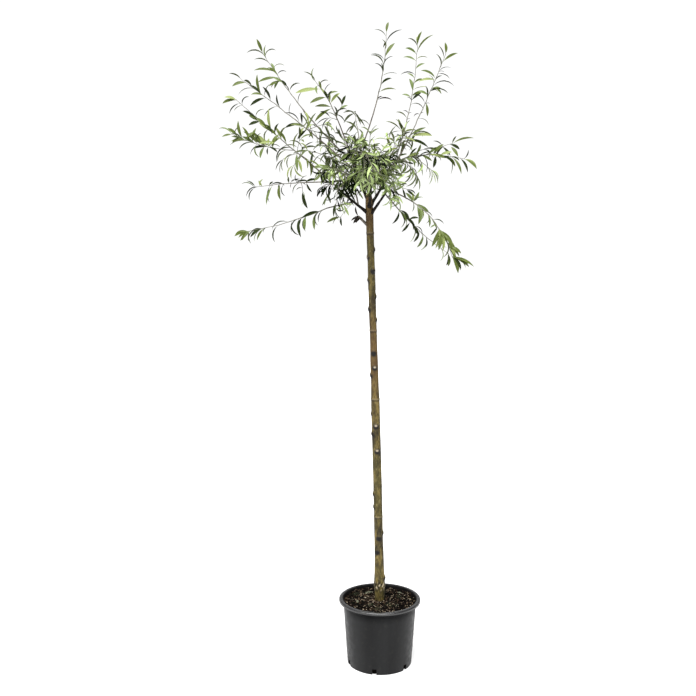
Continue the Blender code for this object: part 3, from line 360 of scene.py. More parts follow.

# Leaves that stand clear against the sky, listed one by one. Each has its distance from the shoot's tip,
# the way it points (0 to the right, 90 up), its length, all as the front view shows them and in
# centimetres,
# and its look: the first letter of its tint, a capital where its face shows and small where its edge does.
SEEN = {
    "tall_middle": (
        (3.3, 79, 3.4, "G"), (5.1, 151, 4.1, "s"), (7.3, 39, 6.3, "d"), (9.3, 107, 3.4, "s"),
        (11.6, 55, 5.2, "G"), (14.2, 146, 4.8, "s"), (15.2, 51, 4.7, "d"), (16.9, 130, 3.8, "d"),
        (17.3, 97, 3.2, "s"), (20.6, 30, 3.8, "D"), (23.6, 60, 0.9, "w"), (27.0, 35, 1.8, "w"),
        (29.0, 2, 4.6, "w"), (33.0, 30, 2.1, "w"),
    ),
    "tall_right": (
        (4.2, 72, 4.2, "G"), (4.5, 94, 2.7, "B"), (5.4, 137, 4.1, "s"), (7.0, 45, 7.0, "G"),
        (9.7, 162, 4.2, "S"), (15.5, 150, 2.8, "S"), (20.2, 104, 4.1, "S"), (23.0, 38, 3.8, "D"),
        (23.3, 140, 1.8, "w"), (27.7, 150, 1.9, "w"), (28.0, 30, 1.2, "w"), (30.0, 25, 1.2, "w"),
        (7.6, 150, 4.0, "S"), (12.5, 30, 3.2, "S"), (21.8, 20, 3.6, "G"), (22.2, 160, 3.2, "S"),
        (17.5, 24, 3.2, "G"),
    ),
    "right_high": (
        (3.5, 93, 3.5, "G"), (6.3, 30, 5.3, "G"), (8.8, 102, 4.7, "s"), (9.5, 19, 4.0, "d"),
        (9.6, 0, 1.7, "d"), (12.0, 151, 5.1, "S"), (12.1, 30, 2.3, "D"), (12.2, 186, 5.0, "B"),
        (14.2, 0, 6.4, "d"), (15.2, 5, 2.8, "G"), (15.6, -18, 2.4, "s"), (16.0, 20, 2.4, "D"),
        (19.0, 94, 4.6, "d"), (19.8, -83, 4.1, "G"), (20.2, 5, 1.5, "w"), (24.0, 200, 2.0, "w"),
        (24.5, 40, 1.8, "w"), (31.0, 25, 5.0, "S"), (31.7, 3, 6.9, "B"), (32.5, -22, 6.4, "D"),
        (14.6, -40, 3.4, "G"), (13.4, 120, 3.0, "s"), (17.6, 160, 3.6, "S"),
    ),
    "upper_left": (
        (4.0, 97, 4.0, "s"), (4.3, 142, 4.6, "s"), (6.8, 187, 7.6, "B"), (7.0, 107, 2.8, "G"),
        (8.3, 56, 3.5, "d"), (8.4, 125, 2.0, "B"), (10.3, 125, 3.4, "D"), (11.3, 90, 3.0, "B"),
        (11.8, 48, 4.1, "B"), (12.8, 178, 5.0, "G"), (13.0, 215, 6.4, "G"), (15.0, -40, 3.6, "d"),
        (16.6, 150, 3.6, "s"), (5.6, 30, 3.2, "s"), (9.2, 20, 3.8, "G"), (9.6, 200, 5.2, "G"),
    ),
    "tall_left": (
        (4.6, 113, 4.6, "G"), (6.3, 170, 5.7, "s"), (7.3, 93, 4.6, "s"), (9.1, 166, 4.8, "s"),
        (12.9, 117, 3.3, "S"), (13.0, 176, 6.6, "G"), (14.8, 141, 4.7, "G"), (15.2, 190, 6.9, "G"),
        (15.8, 238, 3.4, "S"), (16.0, -45, 2.8, "D"), (17.9, -55, 2.6, "d"), (14.0, 20, 3.0, "d"),
        (16.6, 200, 4.2, "G"), (17.6, 150, 3.4, "S"),
    ),
    "left_high": (
        (4.0, 156, 4.0, "g"), (6.2, 196, 4.3, "G"), (9.4, 200, 5.3, "s"), (12.2, 100, 5.5, "G"),
        (12.5, 143, 4.9, "D"), (14.2, 203, 5.4, "D"), (16.0, 120, 4.6, "d"), (20.0, 104, 4.1, "d"),
        (27.7, 147, 5.5, "d"), (28.5, 192, 4.9, "D"), (29.5, 175, 4.0, "G"), (30.0, 240, 3.0, "B"),
        (31.0, 225, 4.2, "D"), (31.5, -60, 3.0, "G"), (13.0, 176, 3.6, "G"),
    ),
    "left_middle": (
        (4.3, 192, 4.3, "G"), (4.6, 168, 3.6, "B"), (5.6, 222, 4.4, "d"), (11.9, 152, 4.9, "D"),
        (13.0, 199, 3.5, "D"), (17.6, 96, 6.6, "B"), (18.2, 145, 5.2, "B"), (18.8, 67, 3.3, "D"),
        (20.0, 245, 3.6, "S"), (23.7, 125, 5.2, "G"), (24.0, 239, 6.1, "d"), (25.5, 200, 4.0, "s"),
        (27.8, -88, 5.5, "S"), (14.3, -48, 4.0, "d"), (13.4, 150, 4.2, "G"), (15.8, 140, 4.4, "G"),
        (6.4, 212, 3.0, "s"), (19.6, 148, 4.6, "G"), (21.6, 118, 4.4, "B"),
    ),
    "left_middle_fork_0": (
        (4.8, 158, 4.4, "s"), (4.9, 195, 3.0, "G"), (7.5, 215, 2.8, "G"), (8.2, 103, 5.2, "G"),
        (9.4, 182, 4.4, "B"), (10.8, 188, 6.2, "s"), (12.0, 60, 3.6, "s"), (14.5, 214, 4.6, "d"),
        (15.2, 250, 3.8, "S"), (16.0, 130, 4.4, "B"), (16.0, 35, 4.6, "B"), (16.1, 85, 2.6, "B"),
        (16.1, 185, 4.2, "D"), (16.2, -30, 3.0, "D"), (16.2, 265, 2.2, "D"), (16.4, 0, 3.2, "s"),
        (13.0, 10, 4.2, "B"), (17.2, 60, 4.4, "G"), (13.2, 140, 5.6, "G"), (14.6, 126, 5.0, "G"),
        (12.2, 152, 4.2, "S"), (9.0, 168, 4.0, "S"), (15.8, 148, 6.0, "G"), (10.5, 116, 4.6, "G"),
        (11.2, 204, 4.4, "s"), (7.0, 140, 4.0, "G"), (9.0, 40, 3.6, "G"), (11.4, 75, 4.4, "G"),
        (5.8, 60, 3.0, "s"),
    ),
    "upper_left_fork_0": (
        (3.4, 70, 3.4, "D"), (3.8, 122, 3.6, "s"), (5.5, 30, 3.0, "S"), (8.0, 104, 3.2, "D"),
    ),
    "left_level": (
        (4.7, 165, 4.4, "s"), (5.2, 145, 3.3, "s"), (6.3, 218, 5.0, "d"), (7.3, 120, 2.0, "B"),
        (9.8, 40, 1.8, "D"), (10.0, 0, 4.6, "d"), (11.0, 252, 6.3, "S"), (13.2, -100, 1.6, "D"),
        (13.6, -88, 5.1, "G"), (17.5, 262, 1.4, "w"), (19.8, -20, 2.4, "d"), (21.0, 172, 3.6, "d"),
        (6.6, 62, 2.6, "B"), (17.0, 20, 3.6, "d"), (18.5, 8, 4.2, "D"), (20.4, 44, 3.0, "s"),
        (22.0, 12, 4.0, "D"), (19.5, 100, 2.6, "d"), (16.6, 95, 2.0, "D"), (23.0, -60, 3.4, "D"),
    ),
    "left_level_fork_0": (
        (5.8, -74, 5.6, "D"), (7.0, 200, 2.0, "s"),
    ),
    "left_low": (
        (3.8, 190, 3.8, "G"), (3.9, 236, 3.2, "G"), (5.2, 224, 4.2, "G"), (6.4, 238, 4.0, "d"),
        (8.3, 218, 4.2, "D"), (8.7, 196, 3.5, "D"), (9.3, 240, 4.2, "G"), (10.6, 226, 2.4, "s"),
        (17.0, 205, 5.6, "d"), (20.5, -83, 5.6, "D"), (21.0, 238, 5.0, "d"), (21.4, 254, 2.4, "D"),
        (23.0, 266, 4.3, "S"), (26.0, 266, 5.0, "S"), (27.5, 202, 6.0, "D"), (28.5, 252, 3.8, "d"),
        (4.0, 200, 4.4, "G"), (3.6, 214, 3.4, "G"),
    ),
    "right_level": (
        (4.9, -40, 5.0, "G"), (4.9, -32, 4.6, "B"), (5.0, 66, 3.0, "d"), (7.0, -63, 5.0, "D"),
        (7.5, 123, 4.0, "G"), (9.5, -63, 6.0, "G"), (10.0, 129, 3.4, "D"), (10.0, -25, 2.9, "D"),
        (15.0, 262, 3.8, "D"), (15.5, 45, 4.4, "G"), (17.0, -20, 4.0, "B"), (18.0, 200, 3.0, "D"),
        (19.0, -79, 5.4, "d"), (21.0, -65, 4.2, "s"), (22.5, -60, 3.6, "s"), (23.0, -40, 3.0, "d"),
        (11.5, -45, 4.4, "G"), (12.6, -34, 4.2, "D"), (13.4, 14, 3.8, "B"), (16.0, -12, 4.6, "G"),
        (17.4, 34, 4.2, "S"), (19.4, -28, 3.8, "G"), (24.0, 20, 3.8, "B"), (24.6, -24, 4.0, "S"),
        (26.0, 148, 3.2, "D"), (21.4, 64, 4.0, "G"),
    ),
    "right_level_fork_0": (
        (7.3, 14, 7.0, "G"), (7.8, 60, 2.6, "s"), (8.8, -25, 3.6, "D"), (10.5, 235, 4.4, "D"),
        (11.2, 150, 3.4, "s"),
    ),
    "right_arching": (
        (4.8, -31, 6.0, "G"), (5.1, -63, 4.7, "G"), (5.0, -39, 5.4, "d"), (8.5, -64, 4.6, "G"),
        (10.4, -60, 5.0, "B"), (11.4, -66, 5.6, "G"), (12.8, -52, 5.6, "B"), (13.6, -60, 5.4, "G"),
        (13.8, -88, 5.2, "B"), (14.4, -98, 5.4, "G"), (15.0, -104, 5.4, "B"), (15.4, -112, 5.6, "G"),
        (16.2, -130, 3.2, "d"), (17.0, -150, 2.0, "s"), (18.9, -22, 3.6, "d"), (20.8, -110, 2.6, "s"),
        (21.2, -83, 3.8, "S"), (22.7, -38, 2.8, "s"), (24.8, -92, 5.0, "s"), (26.4, -32, 5.0, "S"),
        (27.5, 25, 3.2, "s"), (28.3, 95, 3.0, "B"), (28.4, 60, 3.4, "S"), (28.2, 130, 3.6, "S"),
        (28.0, -95, 2.8, "s"), (15.8, -60, 5.2, "G"), (15.2, -44, 5.6, "G"), (16.0, -76, 5.0, "B"),
        (25.6, -80, 4.4, "S"), (5.4, -58, 4.8, "D"), (5.2, -24, 5.2, "G"), (10.8, -48, 5.6, "G"),
        (9.4, -30, 4.2, "G"), (23.6, -104, 4.6, "S"), (4.9, -25, 7.0, "G"), (5.6, -70, 5.2, "G"),
    ),
    "right_low": (
        (3.7, -90, 3.8, "G"), (4.0, -100, 3.6, "D"), (4.4, -84, 3.8, "G"), (6.5, 5, 1.8, "s"),
        (12.3, -92, 3.2, "D"), (13.7, -115, 4.4, "S"), (14.6, -92, 3.5, "s"), (15.2, -119, 3.8, "D"),
        (19.5, -131, 3.9, "D"), (20.2, 10, 3.3, "D"), (22.3, -52, 5.5, "D"), (23.5, -45, 3.5, "D"),
        (24.8, -117, 4.6, "D"), (21.0, -62, 4.0, "d"), (17.6, -48, 3.6, "d"), (18.6, -80, 3.6, "s"),
        (16.4, -96, 3.4, "D"), (22.8, -102, 4.0, "s"), (25.6, -66, 4.4, "D"), (26.4, -58, 4.4, "S"),
        (27.0, -40, 4.0, "D"), (18.8, -60, 4.2, "D"),
    ),
    "low_spray": (
        (0.1, 208, 2.6, "W"), (0.1, 250, 2.0, "W"), (0.4, 226, 2.6, "W"), (0.9, 216, 2.2, "W"),
        (0.1, 106, 3.2, "w"), (3.0, 140, 3.4, "W"), (2.4, 152, 3.0, "W"),
    ),
    "hanging_spray": (
        (4.6, 202, 4.6, "G"), (5.2, -85, 2.8, "D"), (5.0, 224, 3.4, "s"), (8.2, 250, 2.2, "s"),
        (7.2, 120, 2.6, "s"),
    ),
}
SEEN_LENGTH = 1.08  # the stalk and the very tip do not show
SEEN_DEPTH = 0.30  # how far such a leaf may turn towards the front or back
FACE_ROLLS = (52.0, 72.0)
EDGE_ROLLS = (-14.0, 14.0)
FACE_ARCHES = (30.0, 75.0)
EDGE_ARCHES = (50.0, 100.0)
FACE_WIDTHS = (0.0106, 0.0134)
EDGE_WIDTHS = (0.0084, 0.0106)
FULL_LENGTH = 0.045  # a leaf of this length has the width drawn for it, and a shorter one is narrower
LONGEST = 1.1  # in such lengths: a leaf past it grows no wider
WIDTH_POWER = 0.7
SEEN_TWISTING = 0.5  # they twist half as far as the other leaves
BACK_LEAF_GAP = 0.052  # between the leaves on such a shoot that point away from the front
BACK_TURN = 18
BACK_SIZE = 0.9
LEAFY_END = 0.95  # a stem without placed leaves stops this share of SOLID_LEAF short of its tip
FORK_LEAF = 0.045  # and a fork without them stops this far short of it
FEWEST_POINTS = 4  # of a stem that is cut a leaf's length short

# Leaves: a thin stalk and a narrow blade that is widest past its middle
SOLID_LEAF = 0.0580  # length of a leaf on the solids, which sets where the stems end
LEAF_STATIONS = (
    (0.00, 0.10), (0.10, 0.10), (0.22, 0.50), (0.38, 0.86),
    (0.54, 1.00), (0.72, 0.86), (0.88, 0.46), (1.00, 0.04),
)
LEAF_LENGTHS = (0.046, 0.066)
LEAF_WIDTHS = (0.0085, 0.0120)
WIDTH_BY_SIZE = (0.4, 0.6)  # the part of a leaf's width that is fixed, and the part that goes with its size
LEAF_STALK = 0.0005
FLAT_STALK = 0.2  # a station as narrow as this is not folded
RIB_DEPTH = 1.4  # at the leaf's root, in half widths of its stalk, and one less at its tip
LEAF_ARCHES = (35.0, 105.0)
LEAF_FOLDS = (14.0, 42.0)
LEAF_TWIST = 30.0
LOOKS_UP = 0.8  # how far its upper side looks up, and on towards the tip of its stem
LOOKS_ON = 0.6
LEAF_CHECKS = (0.36, 0.68, 1.0)  # where along it the rule looks for what is in its way
LEAF_BARE = 0.2  # the share of it near its root that others may come close to
LEAF_FIRST = 0.012  # from the root of a stem to its first leaf
LEAF_GAP = 0.0210
LEAF_GAPS = (0.8, 1.2)
LEAF_CLEAR = 0.0030
LEAF_TURN = 144.0
LEAF_SPREAD = 44.0
LEAF_DROOP = (0.35, 0.75)
LIMB_CLEAR = 0.0020
SHORTEST = 1e-6  # a limb's piece under this length counts as a point
SPREADS = (0.75, 1.25)
RETRY_TURN = (40.0, 100.0)
TRIES = 12
SPRAY_LEAVES = 3  # leaves along a shoot that share a tint

# Twigs
TWIG_START = 0.04
TWIG_STEPS = 4
TWIG_SPREAD = 52.0
TWIG_SAG = 0.30
TWIG_TURN = 137.5
TWIG_INSET = 0.0015
RETRY_LENGTH = 0.94  # a twig is this much shorter after each try
TWIGLET = 0.038
TWIGLET_SIZES = (0.8, 1.25)
TWIGLET_LEAF = 0.9
ROSETTE = 3
ROSETTE_SPREAD = 38.0
ROSETTE_FIRST = (0.25, 0.6)  # spread and bend of its first leaf, as shares of the others'

# How the dense heart grows, and the open shoots round it: shares of a shoot's droop and of a leaf's length
# and width, roll of the leaves and the gap between them on a stem, length and sizes of the twigs, the gap
# and size of their leaves, and where along them their own side twigs are
Habit = namedtuple("Habit", "droop length width roll stem_gap twig twig_sizes gap leaf side_twigs")
DENSE = Habit(0.45, 0.80, 0.76, 120.0, 0.0155, 0.068, (0.7, 1.2), 0.0105, 0.92, (0.30, 0.62))
OPEN = Habit(1.0, 1.0, 1.0, 32.0, LEAF_GAP, 0.050, (0.5, 1.3), LEAF_GAP * 0.8, 0.90, ())

# Upper side and underside of the leaves of each tint. The undersides of the paler tints are darker than
# their upper sides: painted shade, as they face away from the light.
TINTS = {
    "withered": ((0.016, 0.011, 0.006), (0.022, 0.015, 0.010)),
    "velvet": ((0.292, 0.374, 0.146), (0.125, 0.158, 0.063)),
    "sage": ((0.104, 0.141, 0.043), (0.060, 0.073, 0.035)),
    "green": ((0.074, 0.099, 0.020), (0.044, 0.054, 0.018)),
    "bright": ((0.195, 0.235, 0.078), (0.115, 0.136, 0.052)),
    "dusk": ((0.018, 0.027, 0.008), (0.022, 0.029, 0.014)),
    "umbra": ((0.003, 0.006, 0.001), (0.003, 0.005, 0.002)),
}
DARK_TINTS = ("umbra", "dusk")  # of the leaves in shade: their dark colours and weak shine are painted shade
LEAF_SHINE = 0.16
DARK_SHINE = 0.02
UPPER_ROUGHNESS = 0.42
UNDER_ROUGHNESS = 0.75
UNDER_SHINE = 0.05

# Tints of each palette, the common ones more than once
PALETTES = {
    "heart": ("velvet", "sage", "umbra", "velvet", "green", "sage", "dusk", "velvet", "sage"),
    # darker tints for the heart low on its left: painted shade
    "heart_shade": ("velvet", "sage", "umbra", "dusk", "umbra", "green", "umbra", "dusk", "umbra"),
    "crown": ("velvet", "sage", "dusk", "green", "velvet", "sage"),
    "sunlit": ("velvet", "sage", "velvet", "green", "velvet", "sage"),
    # darker tints for the front spray high up: painted shade
    "front_spray_painted_shade": ("velvet", "sage", "umbra", "green", "umbra", "sage"),
    "tips": ("green", "sage", "bright", "dusk"),
    "fresh": ("bright", "green", "sage", "bright", "dusk"),
    "mixed": ("sage", "green", "velvet", "dusk"),
    "shade": ("dusk", "sage", "dusk", "velvet"),
}
SHADE_LEVEL = 1.652  # leaves of the heart under this height and left of this place take darker tints, a painted shade
SHADE_SIDE = -0.015
SUNLIT_LEVEL = 1.660  # the front spray takes pale tints, painted sunlight, under this height, and darker ones, a painted shade, over it


class Net:
    """Points and faces gathered from many shapes, made into one mesh at the end."""

    def __init__(self):
        self.points = []
        self.faces = []
        self.slots = []
        self.values = {}
        self.count = 0

    def add(self, points, faces, slots=0, **values):
        points = np.asarray(points, float).reshape(-1, 3)
        self.points.append(points)
        self.faces.extend([tuple(corner + self.count for corner in face) for face in faces])
        self.slots.extend(slots if isinstance(slots, list) else [slots] * len(faces))
        for name, value in values.items():
            self.values.setdefault(name, []).append(np.asarray(value, float).reshape(-1))
        self.count += len(points)

    def piece(self, name, materials, slot, nodes, sharp=60.0):
        """The mesh as an object of that name, which rides on the plant and stands for some nodes."""
        mesh = bpy.data.meshes.new(name)
        mesh.from_pydata(np.concatenate(self.points).tolist(), [], self.faces)
        for material in materials:
            mesh.materials.append(material)
        mesh.polygons.foreach_set("material_index", self.slots)
        for value_name, parts in self.values.items():
            layer = mesh.attributes.new(value_name, "FLOAT", "POINT")
            layer.data.foreach_set("value", np.concatenate(parts))
        mesh.shade_smooth()
        mesh.set_sharp_from_angle(angle=math.radians(sharp))
        obj = bpy.data.objects.new(name, mesh)
        bpy.context.scene.collection.objects.link(obj)
        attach(obj, "root")
        if nodes:
            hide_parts(*nodes)
        return obj


def rgba(colour):
    """A colour or a grey with full opacity. An output of another node stays as it is."""
    if isinstance(colour, bpy.types.NodeSocket):
        return colour
    return (*colour, 1.0) if isinstance(colour, tuple) else (colour, colour, colour, 1.0)


def fill(tree, node, sockets):
    """Gives the sockets of a node their values, or links them to the outputs of other nodes."""
    for name, value in sockets.items():
        if isinstance(value, bpy.types.NodeSocket):
            tree.links.new(value, node.inputs[name])
        else:
            node.inputs[name].default_value = value


def add_node(tree, kind, output, sockets, **settings):
    """Adds a shader node with its settings and sockets, and gives one of its outputs."""
    node = tree.nodes.new("ShaderNode" + kind)
    for name, value in settings.items():
        setattr(node, name, value)
    fill(tree, node, sockets)
    return node.outputs[output]


class Finish:
    """A material's nodes, built from object coordinates into one shader."""

    def __init__(self, name, roughness, colour=0.5, specular=0.25):
        self.material = bpy.data.materials.new(name)
        self.material.use_nodes = True
        self.tree = self.material.node_tree
        self.shader = self.tree.nodes["Principled BSDF"]
        self.place = self.node("TexCoord", "Object", {})
        self.set(Roughness=roughness, Specular_IOR_Level=specular, Base_Color=rgba(colour))

    def node(self, kind, output, sockets, **settings):
        return add_node(self.tree, kind, output, sockets, **settings)

    def noise(self, scale, detail=5.0, roughness=0.55, stretch=(1, 1, 1)):
        place = self.node("Mapping", "Vector", {"Vector": self.place, "Scale": stretch})
        sockets = {"Vector": place, "Scale": scale, "Detail": detail, "Roughness": roughness}
        return self.node("TexNoise", "Fac", sockets)

    def height(self, low, high):
        """Nought below one height, one above the other and a slope between."""
        z = self.node("SeparateXYZ", "Z", {"Vector": self.place})
        return self.node("MapRange", "Result", {"Value": z, "From Min": low, "From Max": high})

    def value(self, name):
        return self.node("Attribute", "Fac", {}, attribute_name=name)

    def ramp(self, value, *stops):
        output = self.node("ValToRGB", "Color", {"Fac": value})
        elements = output.node.color_ramp.elements
        while len(elements) < len(stops):
            elements.new(0.5)
        for element, (position, colour) in zip(elements, stops):
            element.position = position
            element.color = rgba(colour)
        return output

    def mix(self, share, first, second):
        sockets = {"Factor": share, 6: rgba(first), 7: rgba(second)}
        return self.node("Mix", 2, sockets, data_type="RGBA")

    def bump(self, height, strength, distance):
        """Adds a bump over those that the shader has already."""
        sockets = {"Height": height, "Strength": strength, "Distance": distance}
        for link in self.shader.inputs["Normal"].links:
            sockets["Normal"] = link.from_socket
        self.set(Normal=self.node("Bump", "Normal", sockets))

    def set(self, **sockets):
        fill(self.tree, self.shader, {name.replace("_", " "): value for name, value in sockets.items()})
        return self.material


def clamp(value):
    return min(max(value, 0.0), 1.0)


def polar(bearing, reach):
    """How far to the right and to the back a bearing in degrees and a reach lead."""
    turn = math.radians(bearing)
    return reach * math.cos(turn), reach * math.sin(turn)


def between(table, place):
    """Reads a table of (place, value) pairs by straight lines between its rows."""
    return np.interp(place, [row[0] for row in table], [row[1] for row in table])


def crown_point(place):
    """A place in the crown from its bearing, reach and height."""
    bearing, reach, height = place
    x, y = polar(bearing, reach)
    return Vector((CROWN_X + x, y, height))


def trunk_point(share):
    """The middle of the trunk at a share of its length above the compost."""
    lean = TRUNK_LEAN * max(share, 0.0) ** LEAN_POWER
    return Vector((lean, 0.0, SOIL + share * TRUNK_LENGTH))


class Arc:
    """Quadratic curve from start through a middle place to its end, read by a share of its length."""

    def __init__(self, start, middle, end):
        first = (middle - start).length
        second = (end - middle).length
        share = first / (first + second)
        self.middle_share = share
        self.start = start
        self.end = end
        self.control = (middle - start * (1 - share) ** 2 - end * share**2) / (2 * share * (1 - share))

    def at(self, share):
        rest = 1 - share
        return self.start * rest**2 + self.control * (2 * rest * share) + self.end * share**2

    def tangent(self, share):
        return ((self.control - self.start) * (1 - share) + (self.end - self.control) * share).normalized()

    def stretch(self, low, high, step):
        """Points from one share to another, about a step apart."""
        count = max(3, round((self.at(high) - self.at(low)).length / step))
        return [self.at(low + (high - low) * n / count) for n in range(count + 1)]


def ring_frames(points):
    """Two unit vectors square to a line at each of its points, carried along it without twisting."""
    tangents = np.gradient(points, axis=0)
    tangents /= np.linalg.norm(tangents, axis=1)[:, None]
    side = np.cross(tangents[0], (0.0, 1.0, 0.0))
    if np.linalg.norm(side) < 0.1:
        side = np.cross(tangents[0], (1.0, 0.0, 0.0))
    sides = []
    for tangent in tangents:
        side = side - tangent * np.dot(side, tangent)
        side = side / np.linalg.norm(side)
        sides.append(side)
    return np.array(sides), np.cross(tangents, sides)


def grid_faces(rows, columns):
    """Faces of a tube of rings, with a flat cap at both ends."""
    faces = []
    for row in range(rows - 1):
        low = row * columns
        for column in range(columns):
            after = (column + 1) % columns
            faces.append((low + column, low + after, low + columns + after, low + columns + column))
    faces.append(tuple(range(columns - 1, -1, -1)))
    faces.append(tuple(range((rows - 1) * columns, rows * columns)))
    return faces


def tube(net, points, radii, sides):
    """Adds a tube to a net. The radii are one for each point, or one for each point and side."""
    points = np.array(points)
    radii = np.array(radii)
    if radii.ndim == 1:
        radii = np.repeat(radii[:, None], sides, axis=1)
    across, up = ring_frames(points)
    turns = np.arange(sides) * 2 * np.pi / sides
    ring = np.cos(turns)[None, :, None] * across[:, None] + np.sin(turns)[None, :, None] * up[:, None]
    net.add(points[:, None] + radii[..., None] * ring, grid_faces(len(points), sides))


def walks(points):
    """How far along a line each of its points is."""
    steps = [0.0]
    for first, second in zip(points, points[1:]):
        steps.append(steps[-1] + (second - first).length)
    return np.array(steps)


def tapered(points, radii):
    """A radius for each point, from the first of two radii to the second along the line's length."""
    steps = walks(points)
    return radii[0] + (radii[1] - radii[0]) * steps / steps[-1]


def swollen(radii, points, places):
    """Radii of a leafy stem, a little thicker at each leaf's root."""
    steps = walks(points)
    for place in places:
        radii = radii + BUD_RISE * np.exp(-(((steps - place) / BUD_REACH) ** 2))
    return radii


def relief(points, radii, look, seed):
    """Radii for each point and side of a limb, with a little unevenness along and round it."""
    sides, amount = look
    round_it, along = RELIEF_FINENESS
    rows = []
    for point, radius in zip(points, radii):
        row = []
        for side in range(sides):
            x, y = polar(360 * side / sides, round_it)
            row.append(radius * (1.0 + amount * noise.noise(Vector((x, y, point.length * along + seed)))))
        rows.append(row)
    return rows


def thinned(rows, step):
    """Every few rows of a list, and its last row."""
    return [*rows[::step], rows[-1]]


def wavering(points, amount, rng):
    """A line with slow bends to both sides, none at its ends, as a young stem grows from bud to bud."""
    length = (points[-1] - points[0]).length
    direction = (points[-1] - points[0]).normalized()
    sides = (side_of(direction, 0.0), side_of(direction, 90.0))
    waves = [(rng.uniform(*WAVE_PACES), rng.uniform(0, 360), rng.uniform(*WAVE_SIZES)) for _ in range(4)]
    result = []
    for n, point in enumerate(points):
        share = n / (len(points) - 1)
        swell = amount * min(1.0, 6 * share, 6 * (1 - share))
        for m, (per_metre, start, size) in enumerate(waves):
            wave = math.sin(math.radians(start + 360 * per_metre * (1 + m) / 3 * share * length))
            point = point + sides[m % 2] * (swell * size * wave / (1 + m))
        result.append(point)
    return result


def segment_distances(places, starts, ends):
    """Distance of each place from each straight segment, one row for each place."""
    run = ends - starts
    offset = places[:, None, :] - starts[None, :, :]
    share = np.clip((offset * run).sum(axis=2) / np.maximum((run * run).sum(axis=1), SHORTEST**2), 0.0, 1.0)
    return np.linalg.norm(offset - share[..., None] * run, axis=2)


def side_of(direction, turn):
    """A unit vector square to a direction, turned round it by an angle in degrees."""
    across = direction.orthogonal().normalized()
    return Matrix.Rotation(math.radians(turn), 3, direction) @ across


def heading(first, second):
    """The direction from one point to another."""
    return (second - first).normalized()


def leaf_face(direction, tangent, roll):
    """Which way a leaf's upper side looks: up, and towards the tip of its stem."""
    face = Vector((0.0, 0.0, LOOKS_UP)) + tangent * LOOKS_ON
    face -= direction * face.dot(direction)
    if face.length < 0.05:
        face = side_of(direction, 0.0)
    return Matrix.Rotation(math.radians(roll), 3, direction) @ face.normalized()


def leaf_line(root, direction, normal, length, arch):
    """Three places on an arched leaf's rib past its stalk."""
    places = []
    for share in LEAF_CHECKS:
        bend = arch * share
        out = length * math.sin(bend) / arch
        down = length * (1 - math.cos(bend)) / arch
        places.append(root + direction * out - normal * down)
    return places


def root_at(line, tip, away):
    """Where a line lies a given distance from a shoot's tip in the front view, and its tangent there."""
    for n in range(len(line) - 2, 0, -1):
        if math.hypot(line[n].x - tip.x, line[n].z - tip.z) >= away:
            return line[n], heading(line[n], line[n + 1])
    return line[0], heading(line[0], line[1])


Leaf = namedtuple("Leaf", "root direction normal length width arch twist fold")


def leaf_shapes(net, leaves):
    """Adds leaves to a net: blade halves folded up along the rib, arched and twisted along their length."""
    root, along, normal, *sizes = (np.array(column) for column in zip(*leaves))
    length, width, arch, twist, fold = (size[:, None] for size in sizes)
    side = np.cross(along, normal)
    stations = []
    for share, broad in LEAF_STATIONS:
        bend = arch * share
        place = root + along * (length * np.sin(bend) / arch)
        place = place - normal * (length * (1 - np.cos(bend)) / arch)
        up = normal * np.cos(bend) + along * np.sin(bend)
        roll = twist * share
        across = side * np.cos(roll) + up * np.sin(roll)
        face = up * np.cos(roll) - side * np.sin(roll)
        half = np.maximum(width * broad / 2, LEAF_STALK)
        lift = fold * (broad > FLAT_STALK)
        out = across * half * np.cos(lift)
        rise = face * half * np.sin(lift)
        rib = face * LEAF_STALK * (RIB_DEPTH - share)
        stations.append(np.stack([place - out + rise, place, place + out + rise, place - rib], axis=1))
    points = np.stack(stations, axis=1)
    last = 4 * (len(LEAF_STATIONS) - 1)
    strip = []
    for low in range(0, last, 4):
        high = low + 4
        strip.append((low + 1, high + 1, high, low))
        strip.append((low + 1, low + 2, high + 2, high + 1))
        strip.append((low + 3, low, high, high + 3))
        strip.append((low + 3, high + 3, high + 2, low + 2))
    strip.append((3, 2, 1, 0))
    strip.append((last, last + 1, last + 2, last + 3))
    under = [0, 0, 1, 1] * (len(LEAF_STATIONS) - 1) + [1, 1]
    starts = np.arange(len(leaves)) * 4 * len(LEAF_STATIONS)
    faces = (np.array(strip)[None] + starts[:, None, None]).reshape(-1, 4)
    net.add(points, faces.tolist(), under * len(leaves))


